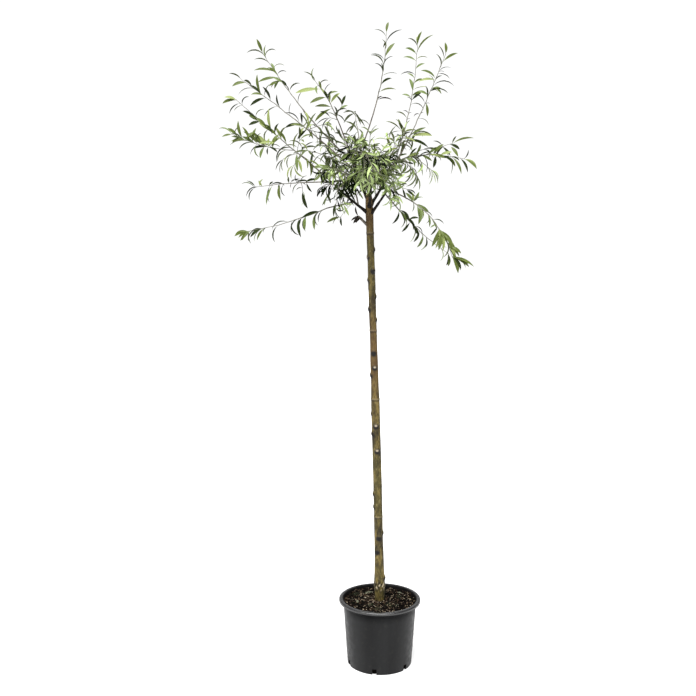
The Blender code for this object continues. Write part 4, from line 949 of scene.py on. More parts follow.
class Crown:
    """Grows twigs and leaves, each clear of the limbs and of what has grown already."""

    def __init__(self, limbs):
        self.limb_starts = np.array([point for line, _ in limbs for point in line[:-1]])
        self.limb_ends = np.array([point for line, _ in limbs for point in line[1:]])
        self.limb_radii = np.array([radius for _, radii in limbs for radius in radii[:-1]])
        self.starts = []
        self.ends = []
        self.leaves = {tint: [] for tint in TINTS}
        self.stems = Net()
        self.twigs = Net()
        self.rng = random.Random(SEED)
        self.tint = "sage"
        self.habit = OPEN

    def clear(self, places):
        """Whether places keep their distance from the limbs and from what has grown."""
        places = np.array(places)
        limb = segment_distances(places, self.limb_starts, self.limb_ends) - self.limb_radii
        if limb.min() < LIMB_CLEAR:
            return False
        if not self.starts:
            return True
        grown = segment_distances(places, np.array(self.starts), np.array(self.ends))
        return grown.min() > LEAF_CLEAR

    def keep_clear_of(self, line):
        self.starts.extend(np.array(point) for point in line[:-1])
        self.ends.extend(np.array(point) for point in line[1:])

    def pick_tint(self, greens, place):
        """Takes a tint from a palette. Low on the left of the heart and high on the front spray it takes a
        darker palette: painted shade.
        """
        if greens == "heart" and place.z < SHADE_LEVEL and place.x < SHADE_SIDE:
            greens = "heart_shade"
        # the front spray: painted shade high up
        if greens == "sunlit" and place.z > SUNLIT_LEVEL:
            greens = "front_spray_painted_shade"
        self.tint = self.rng.choice(PALETTES[greens])

    def keep_leaf(self, tint, twisting, *shape):
        """Twists and folds a leaf, and keeps what grows later clear of it."""
        twist = math.radians(self.rng.uniform(-LEAF_TWIST, LEAF_TWIST)) * twisting
        fold = math.radians(self.rng.uniform(*LEAF_FOLDS))
        leaf = Leaf(*shape, twist, fold)
        self.leaves[tint].append(leaf)
        line = leaf_line(leaf.root, leaf.direction, leaf.normal, leaf.length, leaf.arch)
        self.keep_clear_of([leaf.root + leaf.direction * (leaf.length * LEAF_BARE), *line])

    def add_leaf(self, root, tangent, turn, spread, droop, size=1.0, bend=1.0):
        """Adds a leaf where it is clear, turning it a little further after each try."""
        rng = self.rng
        length = rng.uniform(*LEAF_LENGTHS) * size * self.habit.length
        fixed, growing = WIDTH_BY_SIZE
        width = rng.uniform(*LEAF_WIDTHS) * (fixed + growing * size) * self.habit.width
        arch = math.radians(rng.uniform(*LEAF_ARCHES)) * bend
        for _ in range(TRIES):
            lean = math.radians(spread * rng.uniform(*SPREADS))
            direction = tangent * math.cos(lean) + side_of(tangent, turn) * math.sin(lean)
            direction.z -= droop * rng.uniform(*LEAF_DROOP)
            direction.normalize()
            normal = leaf_face(direction, tangent, rng.uniform(-self.habit.roll, self.habit.roll))
            if self.clear(leaf_line(root, direction, normal, length, arch)):
                self.keep_leaf(self.tint, 1.0, root, direction, normal, length, width, arch)
                return
            turn += rng.uniform(*RETRY_TURN)

    def add_seen(self, line, tip, rows):
        """Adds the leaves of a shoot that stand clear against the sky."""
        rng = self.rng
        for away, angle, picture_length, look in rows:
            root, tangent = root_at(line, tip, away / 100)
            turn = math.radians(angle)
            depth = rng.uniform(-SEEN_DEPTH, SEEN_DEPTH)
            chord = Vector((math.cos(turn), depth, math.sin(turn))).normalized()
            length = SEEN_LENGTH * picture_length / 100 / math.hypot(chord.x, chord.z)
            shows_face = look.isupper()
            face = leaf_face(chord, tangent, rng.uniform(*EDGE_ROLLS))
            if shows_face:
                front = (Vector((0.0, -1.0, 0.0)) + chord * chord.y).normalized()
                roll = math.radians(rng.uniform(*FACE_ROLLS))
                face = (face * math.cos(roll) + front * math.sin(roll)).normalized()
            arch = math.radians(rng.uniform(*(FACE_ARCHES if shows_face else EDGE_ARCHES)))
            width = rng.uniform(*(FACE_WIDTHS if shows_face else EDGE_WIDTHS))
            width *= min(LONGEST, length / FULL_LENGTH) ** WIDTH_POWER
            direction = chord * math.cos(arch / 2) + face * math.sin(arch / 2)
            normal = face * math.cos(arch / 2) - chord * math.sin(arch / 2)
            length *= (arch / 2) / math.sin(arch / 2)
            tint = next(name for name in TINTS if name[0] == look.lower())
            self.keep_leaf(tint, SEEN_TWISTING, root, direction, normal, length, width, arch)

    def back_leaves(self, line, droop, greens):
        """Leaves on the far side of a shoot, so that it is full from the side as well."""
        steps = max(1, round(BACK_LEAF_GAP / (line[1] - line[0]).length))
        for n in range(steps // 2, len(line) - 2, steps):
            tangent = heading(line[n], line[n + 1])
            sideways = side_of(tangent, 0.0)
            level = side_of(tangent, 90.0)
            turn = math.degrees(math.atan2(-level.y, sideways.y)) + self.rng.uniform(-BACK_TURN, BACK_TURN)
            if n // steps % 3 == 2:
                turn += 180
            self.pick_tint(greens, line[n])
            self.add_leaf(line[n], tangent, turn, LEAF_SPREAD, droop, BACK_SIZE)

    def rosette(self, line, inset, droop, size):
        """A tuft of leaves round the end of a twig. Its first leaf goes on in the twig's direction."""
        end = heading(line[-2], line[-1])
        root = line[-1] - end * inset
        turn = self.rng.uniform(0, 360)
        for n in range(ROSETTE):
            narrowing, bend = ROSETTE_FIRST if n == 0 else (1.0, 1.0)
            self.add_leaf(root, end, turn, ROSETTE_SPREAD * narrowing, droop, size, bend)
            turn += LEAF_TURN

    def line_leaves(self, line, first, gap, droop, size, greens):
        """Sets leaves along a line by a fixed turn. Every few leaves take a new tint from the palette."""
        steps = walks(line)
        turn = self.rng.uniform(0, 360)
        place = first
        places = []
        while place < steps[-1] - gap / 3:
            n = min(int(np.searchsorted(steps, place, side="right")) - 1, len(line) - 2)
            if len(places) % SPRAY_LEAVES == 0:
                self.pick_tint(greens, line[n])
            share = (place - steps[n]) / (line[n + 1] - line[n]).length
            root = line[n].lerp(line[n + 1], share)
            self.add_leaf(root, heading(line[n], line[n + 1]), turn, LEAF_SPREAD, droop, size)
            places.append(place)
            turn += LEAF_TURN
            place += gap * self.rng.uniform(*LEAF_GAPS)
        return places

    def add_twig(self, root, tangent, turn, length, radii, droop, size, greens, side_twigs=()):
        """Adds a twig that bends under its own weight, where it is clear, with its leaves and twiglets."""
        rng = self.rng
        gap = self.habit.gap
        for _ in range(TRIES):
            lean = math.radians(TWIG_SPREAD * rng.uniform(*SPREADS))
            direction = tangent * math.cos(lean) + side_of(tangent, turn) * math.sin(lean)
            sag = Vector((0.0, 0.0, -min(droop, 1.0) * TWIG_SAG * length))
            shares = [n / TWIG_STEPS for n in range(TWIG_STEPS + 1)]
            line = [root + direction * (length * share) + sag * share**2 for share in shares]
            if self.clear([line[1].lerp(line[2], 0.5), *line[2:]]):
                break
            turn += rng.uniform(*RETRY_TURN)
            length *= RETRY_LENGTH
        else:
            return
        tube(self.twigs, line, tapered(line, radii), TWIG_SIDES)
        self.keep_clear_of(line[1:])
        self.line_leaves(line, gap, gap, droop, size, greens)
        self.pick_tint(greens, line[-1])
        self.rosette(line, TWIG_INSET, droop, size)
        for share in side_twigs:
            place = line[0].lerp(line[-1], share) + sag * (share**2 - share)
            tangent_there = (direction + sag / length * share).normalized()
            self.add_twig(place, tangent_there, rng.uniform(0, 360), TWIGLET * rng.uniform(*TWIGLET_SIZES),
                          TWIGLET_RADII, droop, size * TWIGLET_LEAF, greens)


def bark_finish():
    """Young bark: olive and grey-brown in long streaks, dark at the scars, pale at some cuts, with a
    painted shadow line down one side, painted shade under the rings and a painted highlight over them.
    """
    finish = Finish("young_trunk_bark", 0.62)
    streaks = finish.noise(60.0, detail=7.0, roughness=0.65, stretch=(1, 1, 0.30))
    flecks = finish.noise(190.0, detail=4.0, stretch=(1, 1, 0.42))
    patches = finish.noise(7.0, detail=3.0, stretch=(1, 1, 0.5))
    speckle = finish.noise(420.0, detail=2.0)
    base = finish.ramp(streaks, (0.38, (0.008, 0.006, 0.002)), (0.49, (0.046, 0.034, 0.008)),
                       (0.62, (0.146, 0.104, 0.026)))
    green = finish.ramp(patches, (0.42, 0.0), (0.66, 1.0))
    base = finish.mix(green, base, finish.mix(0.55, base, (0.073, 0.063, 0.010)))
    for pattern, low, high, colour in (
            (flecks, (0.36, 0.60), (0.48, 0.0), (0.010, 0.007, 0.003)),
            (flecks, (0.56, 0.0), (0.70, 0.50), (0.190, 0.160, 0.076)),
            (speckle, (0.62, 0.0), (0.74, 0.35), (0.260, 0.220, 0.140))):
        base = finish.mix(finish.ramp(pattern, low, high), base, colour)
    base = finish.mix(finish.value("red"), base, finish.mix(0.65, base, (0.080, 0.037, 0.013)))
    # dark at the knots' scars and the graft's hollows, and painted shade: under the rings and in a line
    # down the trunk
    base = finish.mix(finish.value("scar"), base, (0.004, 0.003, 0.002))
    # pale at some cuts and on the graft's knobs, and a painted highlight over the rings
    base = finish.mix(finish.value("pale"), base, (0.420, 0.350, 0.250))
    finish.bump(finish.noise(240.0, stretch=(1, 1, 0.3)), 0.5, 0.0004)
    finish.bump(speckle, 0.25, 0.0002)
    rough = finish.ramp(streaks, (0.3, 0.75), (0.7, 0.50))
    return finish.set(Base_Color=base, Roughness=rough)


def bough_finish():
    finish = Finish("bough_bark", 0.6, specular=0.10)
    base = finish.ramp(finish.noise(60.0), (0.35, (0.002, 0.0015, 0.001)), (0.55, (0.007, 0.005, 0.003)),
                       (0.75, (0.026, 0.018, 0.010)))
    finish.bump(finish.noise(300.0), 0.5, 0.0003)
    return finish.set(Base_Color=base)


def stem_finish(name, dark, light):
    finish = Finish(name, 0.55)
    base = finish.ramp(finish.noise(90.0, detail=3.0), (0.35, dark), (0.65, light))
    finish.bump(finish.noise(500.0, detail=2.0), 0.4, 0.0002)
    return finish.set(Base_Color=base)


def leaf_finish(name, colour, roughness, shine):
    """One plain colour, with fine uneven gloss."""
    finish = Finish(name, roughness, colour, shine)
    gloss = finish.noise(180.0, detail=2.0)
    finish.bump(gloss, 0.35, 0.0004)
    return finish.set(Roughness=finish.ramp(gloss, (0.3, roughness - 0.1), (0.7, roughness + 0.1)))


def compost_finish():
    """Nearly black crumbs with a few paler ones, and a thin film of moss in patches."""
    finish = Finish("bark_compost", 0.9, specular=0.02)
    fine = finish.noise(160.0, detail=8.0, roughness=0.7)
    base = finish.ramp(fine, (0.35, 0.0002), (0.55, (0.0012, 0.0010, 0.0007)),
                       (0.70, (0.012, 0.009, 0.006)), (0.82, (0.080, 0.058, 0.038)))
    moss = finish.ramp(finish.noise(24.0, detail=3.0), (0.60, 0.0), (0.66, 0.8))
    finish.bump(fine, 1.0, 0.002)
    return finish.set(Base_Color=finish.mix(moss, base, (0.003, 0.005, 0.0015)))


def chip_finish(name, dark, light):
    finish = Finish(name, 0.8, specular=0.05)
    base = finish.ramp(finish.noise(220.0, stretch=(1, 0.3, 1)), (0.35, dark), (0.65, light))
    finish.bump(finish.noise(700.0), 0.6, 0.0003)
    return finish.set(Base_Color=base)


def moss_finish():
    finish = Finish("moss", 0.85)
    base = finish.ramp(finish.noise(300.0), (0.35, (0.004, 0.006, 0.002)), (0.65, (0.018, 0.024, 0.008)))
    return finish.set(Base_Color=base)


def pot_finish(name, dark, light, shine, gloss, under_lip_shade=1.0):
    """Charcoal plastic with faint streaks of dried water, patches of dust and fine moulding marks. Its
    shine drops by a given share under the lip: a painted shade.
    """
    finish = Finish(name, 0.42)
    # painted shade: the wall shines less just under the lip
    shine = finish.ramp(finish.height(*UNDER_LIP_SHADE_HEIGHTS), (0.0, shine), (1.0, shine * under_lip_shade))
    streaks = finish.noise(16.0, detail=4.0, stretch=(1, 1, 0.12))
    dust = finish.noise(60.0, detail=6.0)
    base = finish.ramp(streaks, (0.35, dark), (0.70, light))
    base = finish.mix(finish.ramp(dust, (0.55, 0.0), (0.80, 0.20)), base, (0.050, 0.048, 0.040))
    rough = finish.ramp(dust, (0.35, gloss[0]), (0.75, gloss[1]))
    finish.bump(finish.noise(520.0, detail=2.0), 0.25, 0.0002)
    return finish.set(Base_Color=base, Roughness=rough, Specular_IOR_Level=shine)


def turned(profile, steps):
    """A ring of points round the Z axis for each point of a profile, with each ring's height unchanged."""
    turns = np.arange(steps) * 2 * np.pi / steps
    radii = np.array([row[0] for row in profile])[:, None]
    heights = np.array([row[1] for row in profile])[:, None]
    return np.stack([radii * np.cos(turns), radii * np.sin(turns), heights + 0 * turns], axis=2)


def rounded(centre, radius, first, last, count):
    """Profile points round a corner, from one angle to another in degrees."""
    points = []
    for n in range(count + 1):
        out, up = polar(first + (last - first) * n / count, radius)
        points.append((centre[0] + out, centre[1] + up))
    return points


def pot_profile():
    """The pot's section, from the middle of its floor up the inside, over the lip and down to its foot."""
    collar = POT_HEIGHT - COLLAR_DEPTH
    lip = POT_HEIGHT - LIP_DEPTH
    inside, centre, outside, under = COLLAR_STEPS
    round_place = (COLLAR_RADIUS - COLLAR_DRAFT - COLLAR_ROUND, collar + centre)
    return [
        (HUB_RADIUS, FLOOR),
        (BASE_RADIUS - WALL - FLOOR_CORNER, FLOOR),
        (BASE_RADIUS - WALL, FLOOR + FLOOR_CORNER),
        (WALL_TOP_RADIUS - WALL, collar),
        (COLLAR_RADIUS - WALL, collar + inside),
        *rounded((COLLAR_RADIUS + MOUTH_STEP, POT_HEIGHT - MOUTH_ROUND), MOUTH_ROUND, 180, 90, 4),
        *rounded((RIM_RADIUS - LIP_ROUND, POT_HEIGHT - LIP_ROUND), LIP_ROUND, 90, 0, 6),
        *rounded((RIM_RADIUS - LIP_EDGE, lip), LIP_EDGE, 0, -90, 3),
        (RIM_RADIUS - LIP_FLAT, lip - LIP_EDGE),
        (COLLAR_RADIUS + LIP_SEAM[0], lip + LIP_SEAM[1]),
        (COLLAR_RADIUS, lip - LIP_SHADOW),
        (COLLAR_RADIUS - COLLAR_DRAFT, collar + outside),
        *rounded(round_place, COLLAR_ROUND, 0, -90, 3),
        (WALL_TOP_RADIUS, collar + under),
        (BASE_RADIUS + BASE_SEAM[0], BASE_CORNER + BASE_SEAM[1]),
        *rounded((BASE_RADIUS - BASE_CORNER, BASE_CORNER), BASE_CORNER, 0, -90, 5),
        (BASE_RADIUS - BASE_RING, 0.0),
        (HUB_RADIUS, 0.0),
    ]


def cut_slot(pot, bearing):
    """Cuts one rounded drain slot through the foot of the pot."""
    bpy.ops.mesh.primitive_cube_add(size=1.0)
    cutter = bpy.context.object
    cutter.scale = SLOT_SIZE
    cutter.location = (*polar(bearing, BASE_RADIUS), 0.0)
    cutter.rotation_euler = (0.0, 0.0, math.radians(bearing))
    bevel = cutter.modifiers.new("round", "BEVEL")
    bevel.width = SLOT_ROUND
    bevel.segments = 3
    cut = pot.modifiers.new("slot", "BOOLEAN")
    cut.operation = "DIFFERENCE"
    cut.object = cutter
    depsgraph = bpy.context.evaluated_depsgraph_get()
    pot.data = bpy.data.meshes.new_from_object(pot.evaluated_get(depsgraph))
    pot.modifiers.remove(cut)
    bpy.data.objects.remove(cutter)


def make_pot():
    """Thin-walled pot with a rolled lip, a collar under it and rounded slots cut through its foot."""
    profile = pot_profile()
    faces = [face[::-1] for face in grid_faces(len(profile), POT_STEPS)]
    slots = []
    # rows on the inside take the darker plastic, a painted shade, and rows of the lip the paler one, a
    # painted highlight
    for row in range(len(profile) - 1):
        slots += [1 if row < INNER_RINGS else 2 if row < LIP_RINGS else 0] * POT_STEPS
    net = Net()
    net.add(turned(profile, POT_STEPS), faces, slots + [1, 0])
    materials = [
        # the wall, whose shine drops under the lip as a painted shade
        pot_finish("charcoal_plastic", (0.0008, 0.0009, 0.0012), (0.0052, 0.0055, 0.006), 0.20, GLOSS,
                   under_lip_shade=0.40),
        # the inner wall and floor: darker plastic, a painted shade inside the pot
        pot_finish("soiled_plastic", 0.004, (0.009, 0.008, 0.008), 0.10, GLOSS),
        # the lip: paler plastic, a painted highlight, with more gloss
        pot_finish("worn_lip", (0.006, 0.0061, 0.0065), (0.015, 0.0152, 0.0158), 0.65, LIP_GLOSS),
    ]
    pot = net.piece("pot_shell", materials, "pot", ["pot"], POT_SHARP)
    for bearing in SLOT_BEARINGS:
        cut_slot(pot, bearing)
    pot.data.shade_smooth()
    pot.data.set_sharp_from_angle(angle=math.radians(POT_SHARP))


def soil_height(x, y):
    """Height of the compost's surface: a low mound with lumps and finer crumbs."""
    share = clamp((math.hypot(x, y) - SOIL_FLAT) / (SOIL_REACH - SOIL_FLAT))
    lumps = sum(rise * noise.noise(Vector((x * fine, y * fine, own))) for rise, fine, own in SOIL_LUMPS)
    top = SOIL + SOIL_RISE
    return top + (SOIL_EDGE - top) * share**2 + lumps


def make_compost():
    """The bed of compost, a hair inside the pot, with its loose and lumpy top."""
    collar = POT_HEIGHT - COLLAR_DEPTH
    edge = COLLAR_RADIUS - WALL - SOIL_GAP
    radii = [HUB_RADIUS + (edge - HUB_RADIUS) * n / SOIL_RINGS for n in range(SOIL_RINGS + 1)]
    below = [
        (edge, collar + SOIL_COLLAR[0]),
        (WALL_TOP_RADIUS - WALL - SOIL_GAP, collar + SOIL_COLLAR[1]),
        (BASE_RADIUS - WALL - SOIL_GAP, FLOOR + SOIL_GAP),
        (HUB_RADIUS, FLOOR + SOIL_GAP),
    ]
    rings = turned([(radius, 0.0) for radius in radii] + below, SOIL_STEPS)
    for ring in rings[: len(radii)]:
        for point in ring:
            point[2] = soil_height(point[0], point[1])
    net = Net()
    net.add(rings, [face[::-1] for face in grid_faces(len(rings), SOIL_STEPS)])
    net.piece("compost_bed", [compost_finish()], "compost", ["compost"], sharp=80.0)


def add_chip(net, rng, slot, length):
    """A splinter of bark lying on the compost, as an uneven block."""
    reach = rng.uniform(*CHIP_RING)
    x, y = polar(rng.uniform(0, 360), reach)
    half = (length / 2, length * rng.uniform(*CHIP_BREADTHS), length * rng.uniform(*CHIP_DEPTHS))
    tilt = Matrix.Rotation(rng.uniform(0, 2 * math.pi), 3, "Z")
    for axis in "YX":
        tilt = tilt @ Matrix.Rotation(rng.gauss(0, CHIP_TILT), 3, axis)
    centre = Vector((x, y, soil_height(x, y) + half[2] * CHIP_LIFT))
    points = []
    for z in (-1, 1):
        for a, b in ((-1, -1), (1, -1), (1, 1), (-1, 1)):
            corner = Vector((a * half[0], b * half[1], z * half[2]))
            points.append(centre + tilt @ (corner * rng.uniform(*CHIP_CORNERS)))
    if max(math.hypot(point.x, point.y) for point in points) > SOIL_REACH:
        return
    faces = [(3, 2, 1, 0), (4, 5, 6, 7), (0, 1, 5, 4), (1, 2, 6, 5), (2, 3, 7, 6), (3, 0, 4, 7)]
    net.add(points, faces, slot)


def make_chips():
    rng = random.Random(SEED)
    net = Net()
    materials = []
    for name, (count, lengths, dark, light) in CHIPS.items():
        for _ in range(count):
            add_chip(net, rng, len(materials), rng.uniform(*lengths))
        materials.append(chip_finish(name, dark, light))
    net.piece("bark_chips", materials, "compost", [], sharp=30.0)


def make_moss():
    """Cushions of moss: short leaning blades, close together in a few patches."""
    rng = random.Random(SEED + 1)
    net = Net()
    for bearing, reach, size in MOSS:
        middle_x, middle_y = polar(bearing, reach)
        for _ in range(int(size * MOSS_BLADES)):
            x = middle_x + rng.gauss(0, size / 2)
            y = middle_y + rng.gauss(0, size / 2)
            if math.hypot(x, y) > MOSS_REACH:
                continue
            root = Vector((x, y, soil_height(x, y) - MOSS_ROOT))
            lean = (rng.gauss(0, MOSS_LEAN), rng.gauss(0, MOSS_LEAN))
            tip = root + Vector((*lean, rng.uniform(*MOSS_HEIGHTS)))
            tube(net, [root, root.lerp(tip, 0.5), tip], MOSS_RADII, 3)
    net.piece("moss_patches", [moss_finish()], "compost", [])


def make_litter():
    """A few fallen leaves on the compost."""
    rng = random.Random(SEED + 2)
    arch, twist, fold = LITTER_BENDS
    leaves = []
    for bearing, reach, length in LITTER:
        x, y = polar(bearing, reach)
        ahead = polar(bearing + rng.uniform(*LITTER_TURNS), 1.0)
        direction = Vector((*ahead, LITTER_RISE)).normalized()
        root = Vector((x, y, soil_height(x, y) + LITTER_LIFT)) - direction * (length / 2)
        normal = leaf_face(direction, direction, rng.uniform(-LITTER_ROLL, LITTER_ROLL))
        leaves.append(Leaf(root, direction, normal, length, LITTER_WIDTH, arch, twist, fold))
    net = Net()
    leaf_shapes(net, leaves)
    upper = leaf_finish("litter_upper", (0.085, 0.088, 0.060), UNDER_ROUGHNESS, 0.1)
    under = leaf_finish("litter_under", (0.110, 0.090, 0.060), UNDER_ROUGHNESS, 0.2)
    net.piece("fallen_leaves", [upper, under], "foliage", [])


def round_trunk(turns, radii, bearing):
    """How far round the trunk each point of its surface is from a bearing, in metres."""
    turn = (turns - math.radians(bearing) + np.pi) % (2 * np.pi) - np.pi
    return turn[None, :] * radii[:, None]


def add_knots(turns, z, base, radii, scar, pale):
    """Raises the knots of cut side twigs, each with a hollow and a scar, and some with a pale face."""
    for knot in KNOTS:
        size = knot.size * KNOT_SCALE
        around = round_trunk(turns, base, knot.bearing)
        far = ((z - knot.height) / (KNOT_TALL * size)) ** 2 + (around / size) ** 2
        radii += KNOT_RISE * size * np.exp(-far) - KNOT_HOLLOW * size * np.exp(-far * HOLLOW_SHARP)
        below = ((z - knot.height + SCAR_DROP * size) / (SCAR_TALL * size)) ** 2 + (around / size) ** 2
        np.maximum(scar, np.minimum(1.0, SCAR_DEPTH * np.exp(-below)), out=scar)
        if knot.pale:
            np.maximum(pale, np.exp(-far * PALE_SHARP), out=pale)


def add_rings(turns, z, base, radii, scar, pale):
    """Draws a painted shadow line down the trunk, and raises the rings, with painted shade under their
    ridge and a painted highlight over it.
    """
    # painted shadow: a dark line down the trunk's left side
    bearing, foot, top, breadth = PAINTED_SHADOW_LINE
    beside = (round_trunk(turns, base, bearing) / breadth) ** 2
    np.maximum(scar, np.exp(-beside) * (z > foot) * (z < top), out=scar)
    for ring in RINGS:
        # painted shade under each ring and a painted highlight over it
        radii += RING_RISE * np.exp(-(((z - ring) / RING_REACH) ** 2))
        drop, reach, strength = RING_SHADE
        np.maximum(scar, strength * np.exp(-(((z - ring + drop) / reach) ** 2)), out=scar)
        rise, reach, strength = RING_LIGHT
        np.maximum(pale, strength * np.exp(-(((z - ring - rise) / reach) ** 2)), out=pale)


def add_bark(turns, heights, radii, scar, pale):
    """Raises lumps and grain, cuts cracks and roughens the graft."""
    graft = np.exp(-(((heights - GRAFT) / GRAFT_REACH) ** 2))
    for i, height in enumerate(heights):
        for j, turn in enumerate(turns):
            x, y = math.cos(turn), math.sin(turn)
            lump, crack, grain, rough = (
                noise.noise(Vector((x * fine, y * fine, height * along))) for fine, along in BARK_NOISES
            )
            radii[i, j] += LUMP_RISE * lump + GRAIN_RISE * grain + GRAFT_RISE * graft[i] * rough
            radii[i, j] -= CRACK_DEPTH * max(0.0, CRACK_LEVEL - abs(crack) * CRACK_SLOPE)
            hollow = clamp(GRAFT_SCAR[0] - rough * GRAFT_SCAR[1])
            knob = clamp(rough * GRAFT_LIGHT[1] - GRAFT_LIGHT[0])
            scar[i, j] = max(scar[i, j], graft[i] * hollow)
            pale[i, j] = max(pale[i, j], graft[i] * knob * GRAFT_PALE)


def make_trunk():
    """The clear stem, with the relief of its bark, its knots, its rings and the rough graft."""
    shares = np.linspace(TRUNK_GIRTH[0][0], 1.0, TRUNK_RINGS)
    heights = SOIL + shares * TRUNK_LENGTH
    turns = np.arange(TRUNK_STEPS) * 2 * np.pi / TRUNK_STEPS
    base = between(TRUNK_GIRTH, shares)
    radii = np.repeat(base[:, None], TRUNK_STEPS, axis=1)
    scar = np.zeros_like(radii)
    pale = np.zeros_like(radii)
    add_knots(turns, heights[:, None], base, radii, scar, pale)
    add_rings(turns, heights[:, None], base, radii, scar, pale)
    add_bark(turns, heights, radii, scar, pale)
    middle, reach, strength = RED_BARK
    red = strength * np.exp(-(((heights - middle) / reach) ** 2))
    foot, reach, strength = RED_TOP
    red += strength * np.clip((heights - foot) / reach, 0.0, 1.0)
    red = np.repeat(red[:, None], TRUNK_STEPS, axis=1)
    points = np.array([trunk_point(share) for share in shares])
    ring = np.stack([np.cos(turns), np.sin(turns), 0 * turns], axis=1)
    net = Net()
    faces = grid_faces(TRUNK_RINGS, TRUNK_STEPS)
    net.add(points[:, None] + radii[..., None] * ring[None], faces, scar=scar, pale=pale, red=red)
    net.piece("trunk_bark", [bark_finish()], "bark", ["trunk"], sharp=80.0)


def make_boughs():
    """The primary boughs, flared where they leave the trunk. Gives each one's curve, points and radii."""
    net = Net()
    grown = {}
    for number, bough in enumerate(BOUGHS):
        start = trunk_point((bough.base - SOIL) / TRUNK_LENGTH)
        tip = crown_point(bough.tip)
        arc = Arc(start, start.lerp(tip, 0.5) - Vector((0.0, 0.0, BOUGH_SAG)), tip)
        points = arc.stretch(0.0, 1.0, BOUGH_STEP)
        radii = tapered(points, BOUGH_RADII)
        for n, point in enumerate(points):
            away = max(0.0, (point - start).length - FLARE_REACH)
            radii[n] += BOUGH_FLARE * math.exp(-away / FLARE_REACH)
        grown[bough.name] = arc, points, radii
        tube(net, points, relief(points, radii, BOUGH_RELIEF, number), BOUGH_RELIEF[0])
    nodes = ["bough_" + bough.name for bough in BOUGHS]
    net.piece("bough_bark", [bough_finish()], "bough", nodes, sharp=80.0)
    return grown


def shoot_arc(shoot, bough_arc):
    """A shoot's curve and the share of it where its leaves begin."""
    tip = crown_point(shoot.tip)
    if shoot.bare:
        arc = Arc(bough_arc.at(shoot.along), crown_point(shoot.bare), tip)
        return arc, arc.middle_share
    start = bough_arc.end
    arc = Arc(start, start.lerp(tip, 0.5), tip)
    arc.control = start + bough_arc.tangent(1.0) * ((tip - start).length * END_BEND)
    return arc, 0.0


def cut_short(line, tip, rows, leaf=SOLID_LEAF * LEAFY_END):
    """A line cut a leaf's length short of its tip. It bends so that its last leaf ends at the tip."""
    if not rows:
        kept = [point for point in line if (point - tip).length > leaf]
        return kept if len(kept) > FEWEST_POINTS else line[:FEWEST_POINTS]
    away, angle, length, _ = rows[0]
    line = [line[0]] + [p for p in line[1:] if math.hypot(p.x - tip.x, p.z - tip.z) > away / 100]
    turn = math.radians(angle)
    root = tip - Vector((math.cos(turn), 0.0, math.sin(turn))) * (SEEN_LENGTH * length / 100)
    shift = Vector((root.x - line[-1].x, 0.0, root.z - line[-1].z))
    return [point + shift * (n / (len(line) - 1)) ** 2 for n, point in enumerate(line)]


def shoot_lines(shoot, arc, low, rng):
    """A shoot's leafy stem and its forks, each with its name, its points, its tip and its radii."""
    tip = crown_point(shoot.tip)
    stem = wavering(arc.stretch(low, 1.0, STEM_STEP), STEM_WAVER, rng)
    sag = SAGS.get(shoot.name, 0.0)
    for n, point in enumerate(stem):
        share = n / (len(stem) - 1)
        point.z -= 4 * sag * share * (1 - share)
    stem = cut_short(stem, tip, SEEN.get(shoot.name, ()))
    root_radius = LIMB_RADII[1] if shoot.bare else BOUGH_RADII[1] * END_GIRTH
    lines = [(shoot.name, stem, tip, (root_radius, STEM_TIP_RADIUS))]
    for number, (share, rise, place) in enumerate(FORKS.get(shoot.name, ())):
        start = stem[round(share * (len(stem) - 1))]
        end = crown_point(place)
        name = f"{shoot.name}_fork_{number}"
        side = Arc(start, start.lerp(end, 0.5) + Vector((0.0, 0.0, rise)), end)
        line = cut_short(side.stretch(0.0, 1.0, STEM_STEP), end, SEEN.get(name, ()), FORK_LEAF)
        lines.append((name, line, end, TWIG_RADII))
    return lines


def grow_shoot(crown, shoot, arc, low):
    """Grows one shoot: its leafy stem, its forks, its leaves and its twigs, which are many in the heart."""
    rng = random.Random(f"{shoot.name} {SEED}")
    crown.rng = rng
    habit = DENSE if shoot.name.startswith(("heart", "front")) else OPEN
    crown.habit = habit
    droop = shoot.droop * habit.droop
    lines = shoot_lines(shoot, arc, low, rng)
    for name, line, tip, ends in lines:
        radii = tapered(line, ends)
        crown.keep_clear_of(line[::STEM_CHECK])
        if name in SEEN:
            crown.add_seen(line, tip, SEEN[name])
            crown.back_leaves(line, droop, shoot.greens)
        else:
            places = crown.line_leaves(line, LEAF_FIRST, habit.stem_gap, droop, 1.0, shoot.greens)
            crown.rosette(line, STEM_INSET, droop * STEM_ROSETTE[0], STEM_ROSETTE[1])
            radii = swollen(radii, line, places)
        tube(crown.stems, line, radii, STEM_SIDES)
    stem = lines[0][1]
    turn = rng.uniform(0, 360)
    count, reach = shoot.twigs
    for n in range(count):
        share = TWIG_START + (reach - TWIG_START) * n / max(1, count - 1)
        place = min(int(share * (len(stem) - 1)), len(stem) - 2)
        length = habit.twig * rng.uniform(*habit.twig_sizes)
        crown.add_twig(stem[place], heading(stem[place], stem[place + 1]), turn, length, TWIG_RADII,
                       droop, habit.leaf, shoot.greens, habit.side_twigs)
        turn += TWIG_TURN


def grow_spray(crown, net, name, start, place, radii):
    """Grows a short growth low down, whose leaves all stand clear against the sky."""
    crown.rng = random.Random(f"{name} {SEED}")
    end = crown_point(place)
    line = [start.lerp(end, n / SPRAY_STEPS) for n in range(SPRAY_STEPS + 1)]
    if name == "hanging_spray":
        line = cut_short(line, end, SEEN[name])
    tube(net, line, tapered(line, radii), STEM_SIDES)
    crown.add_seen(line, end, SEEN[name])


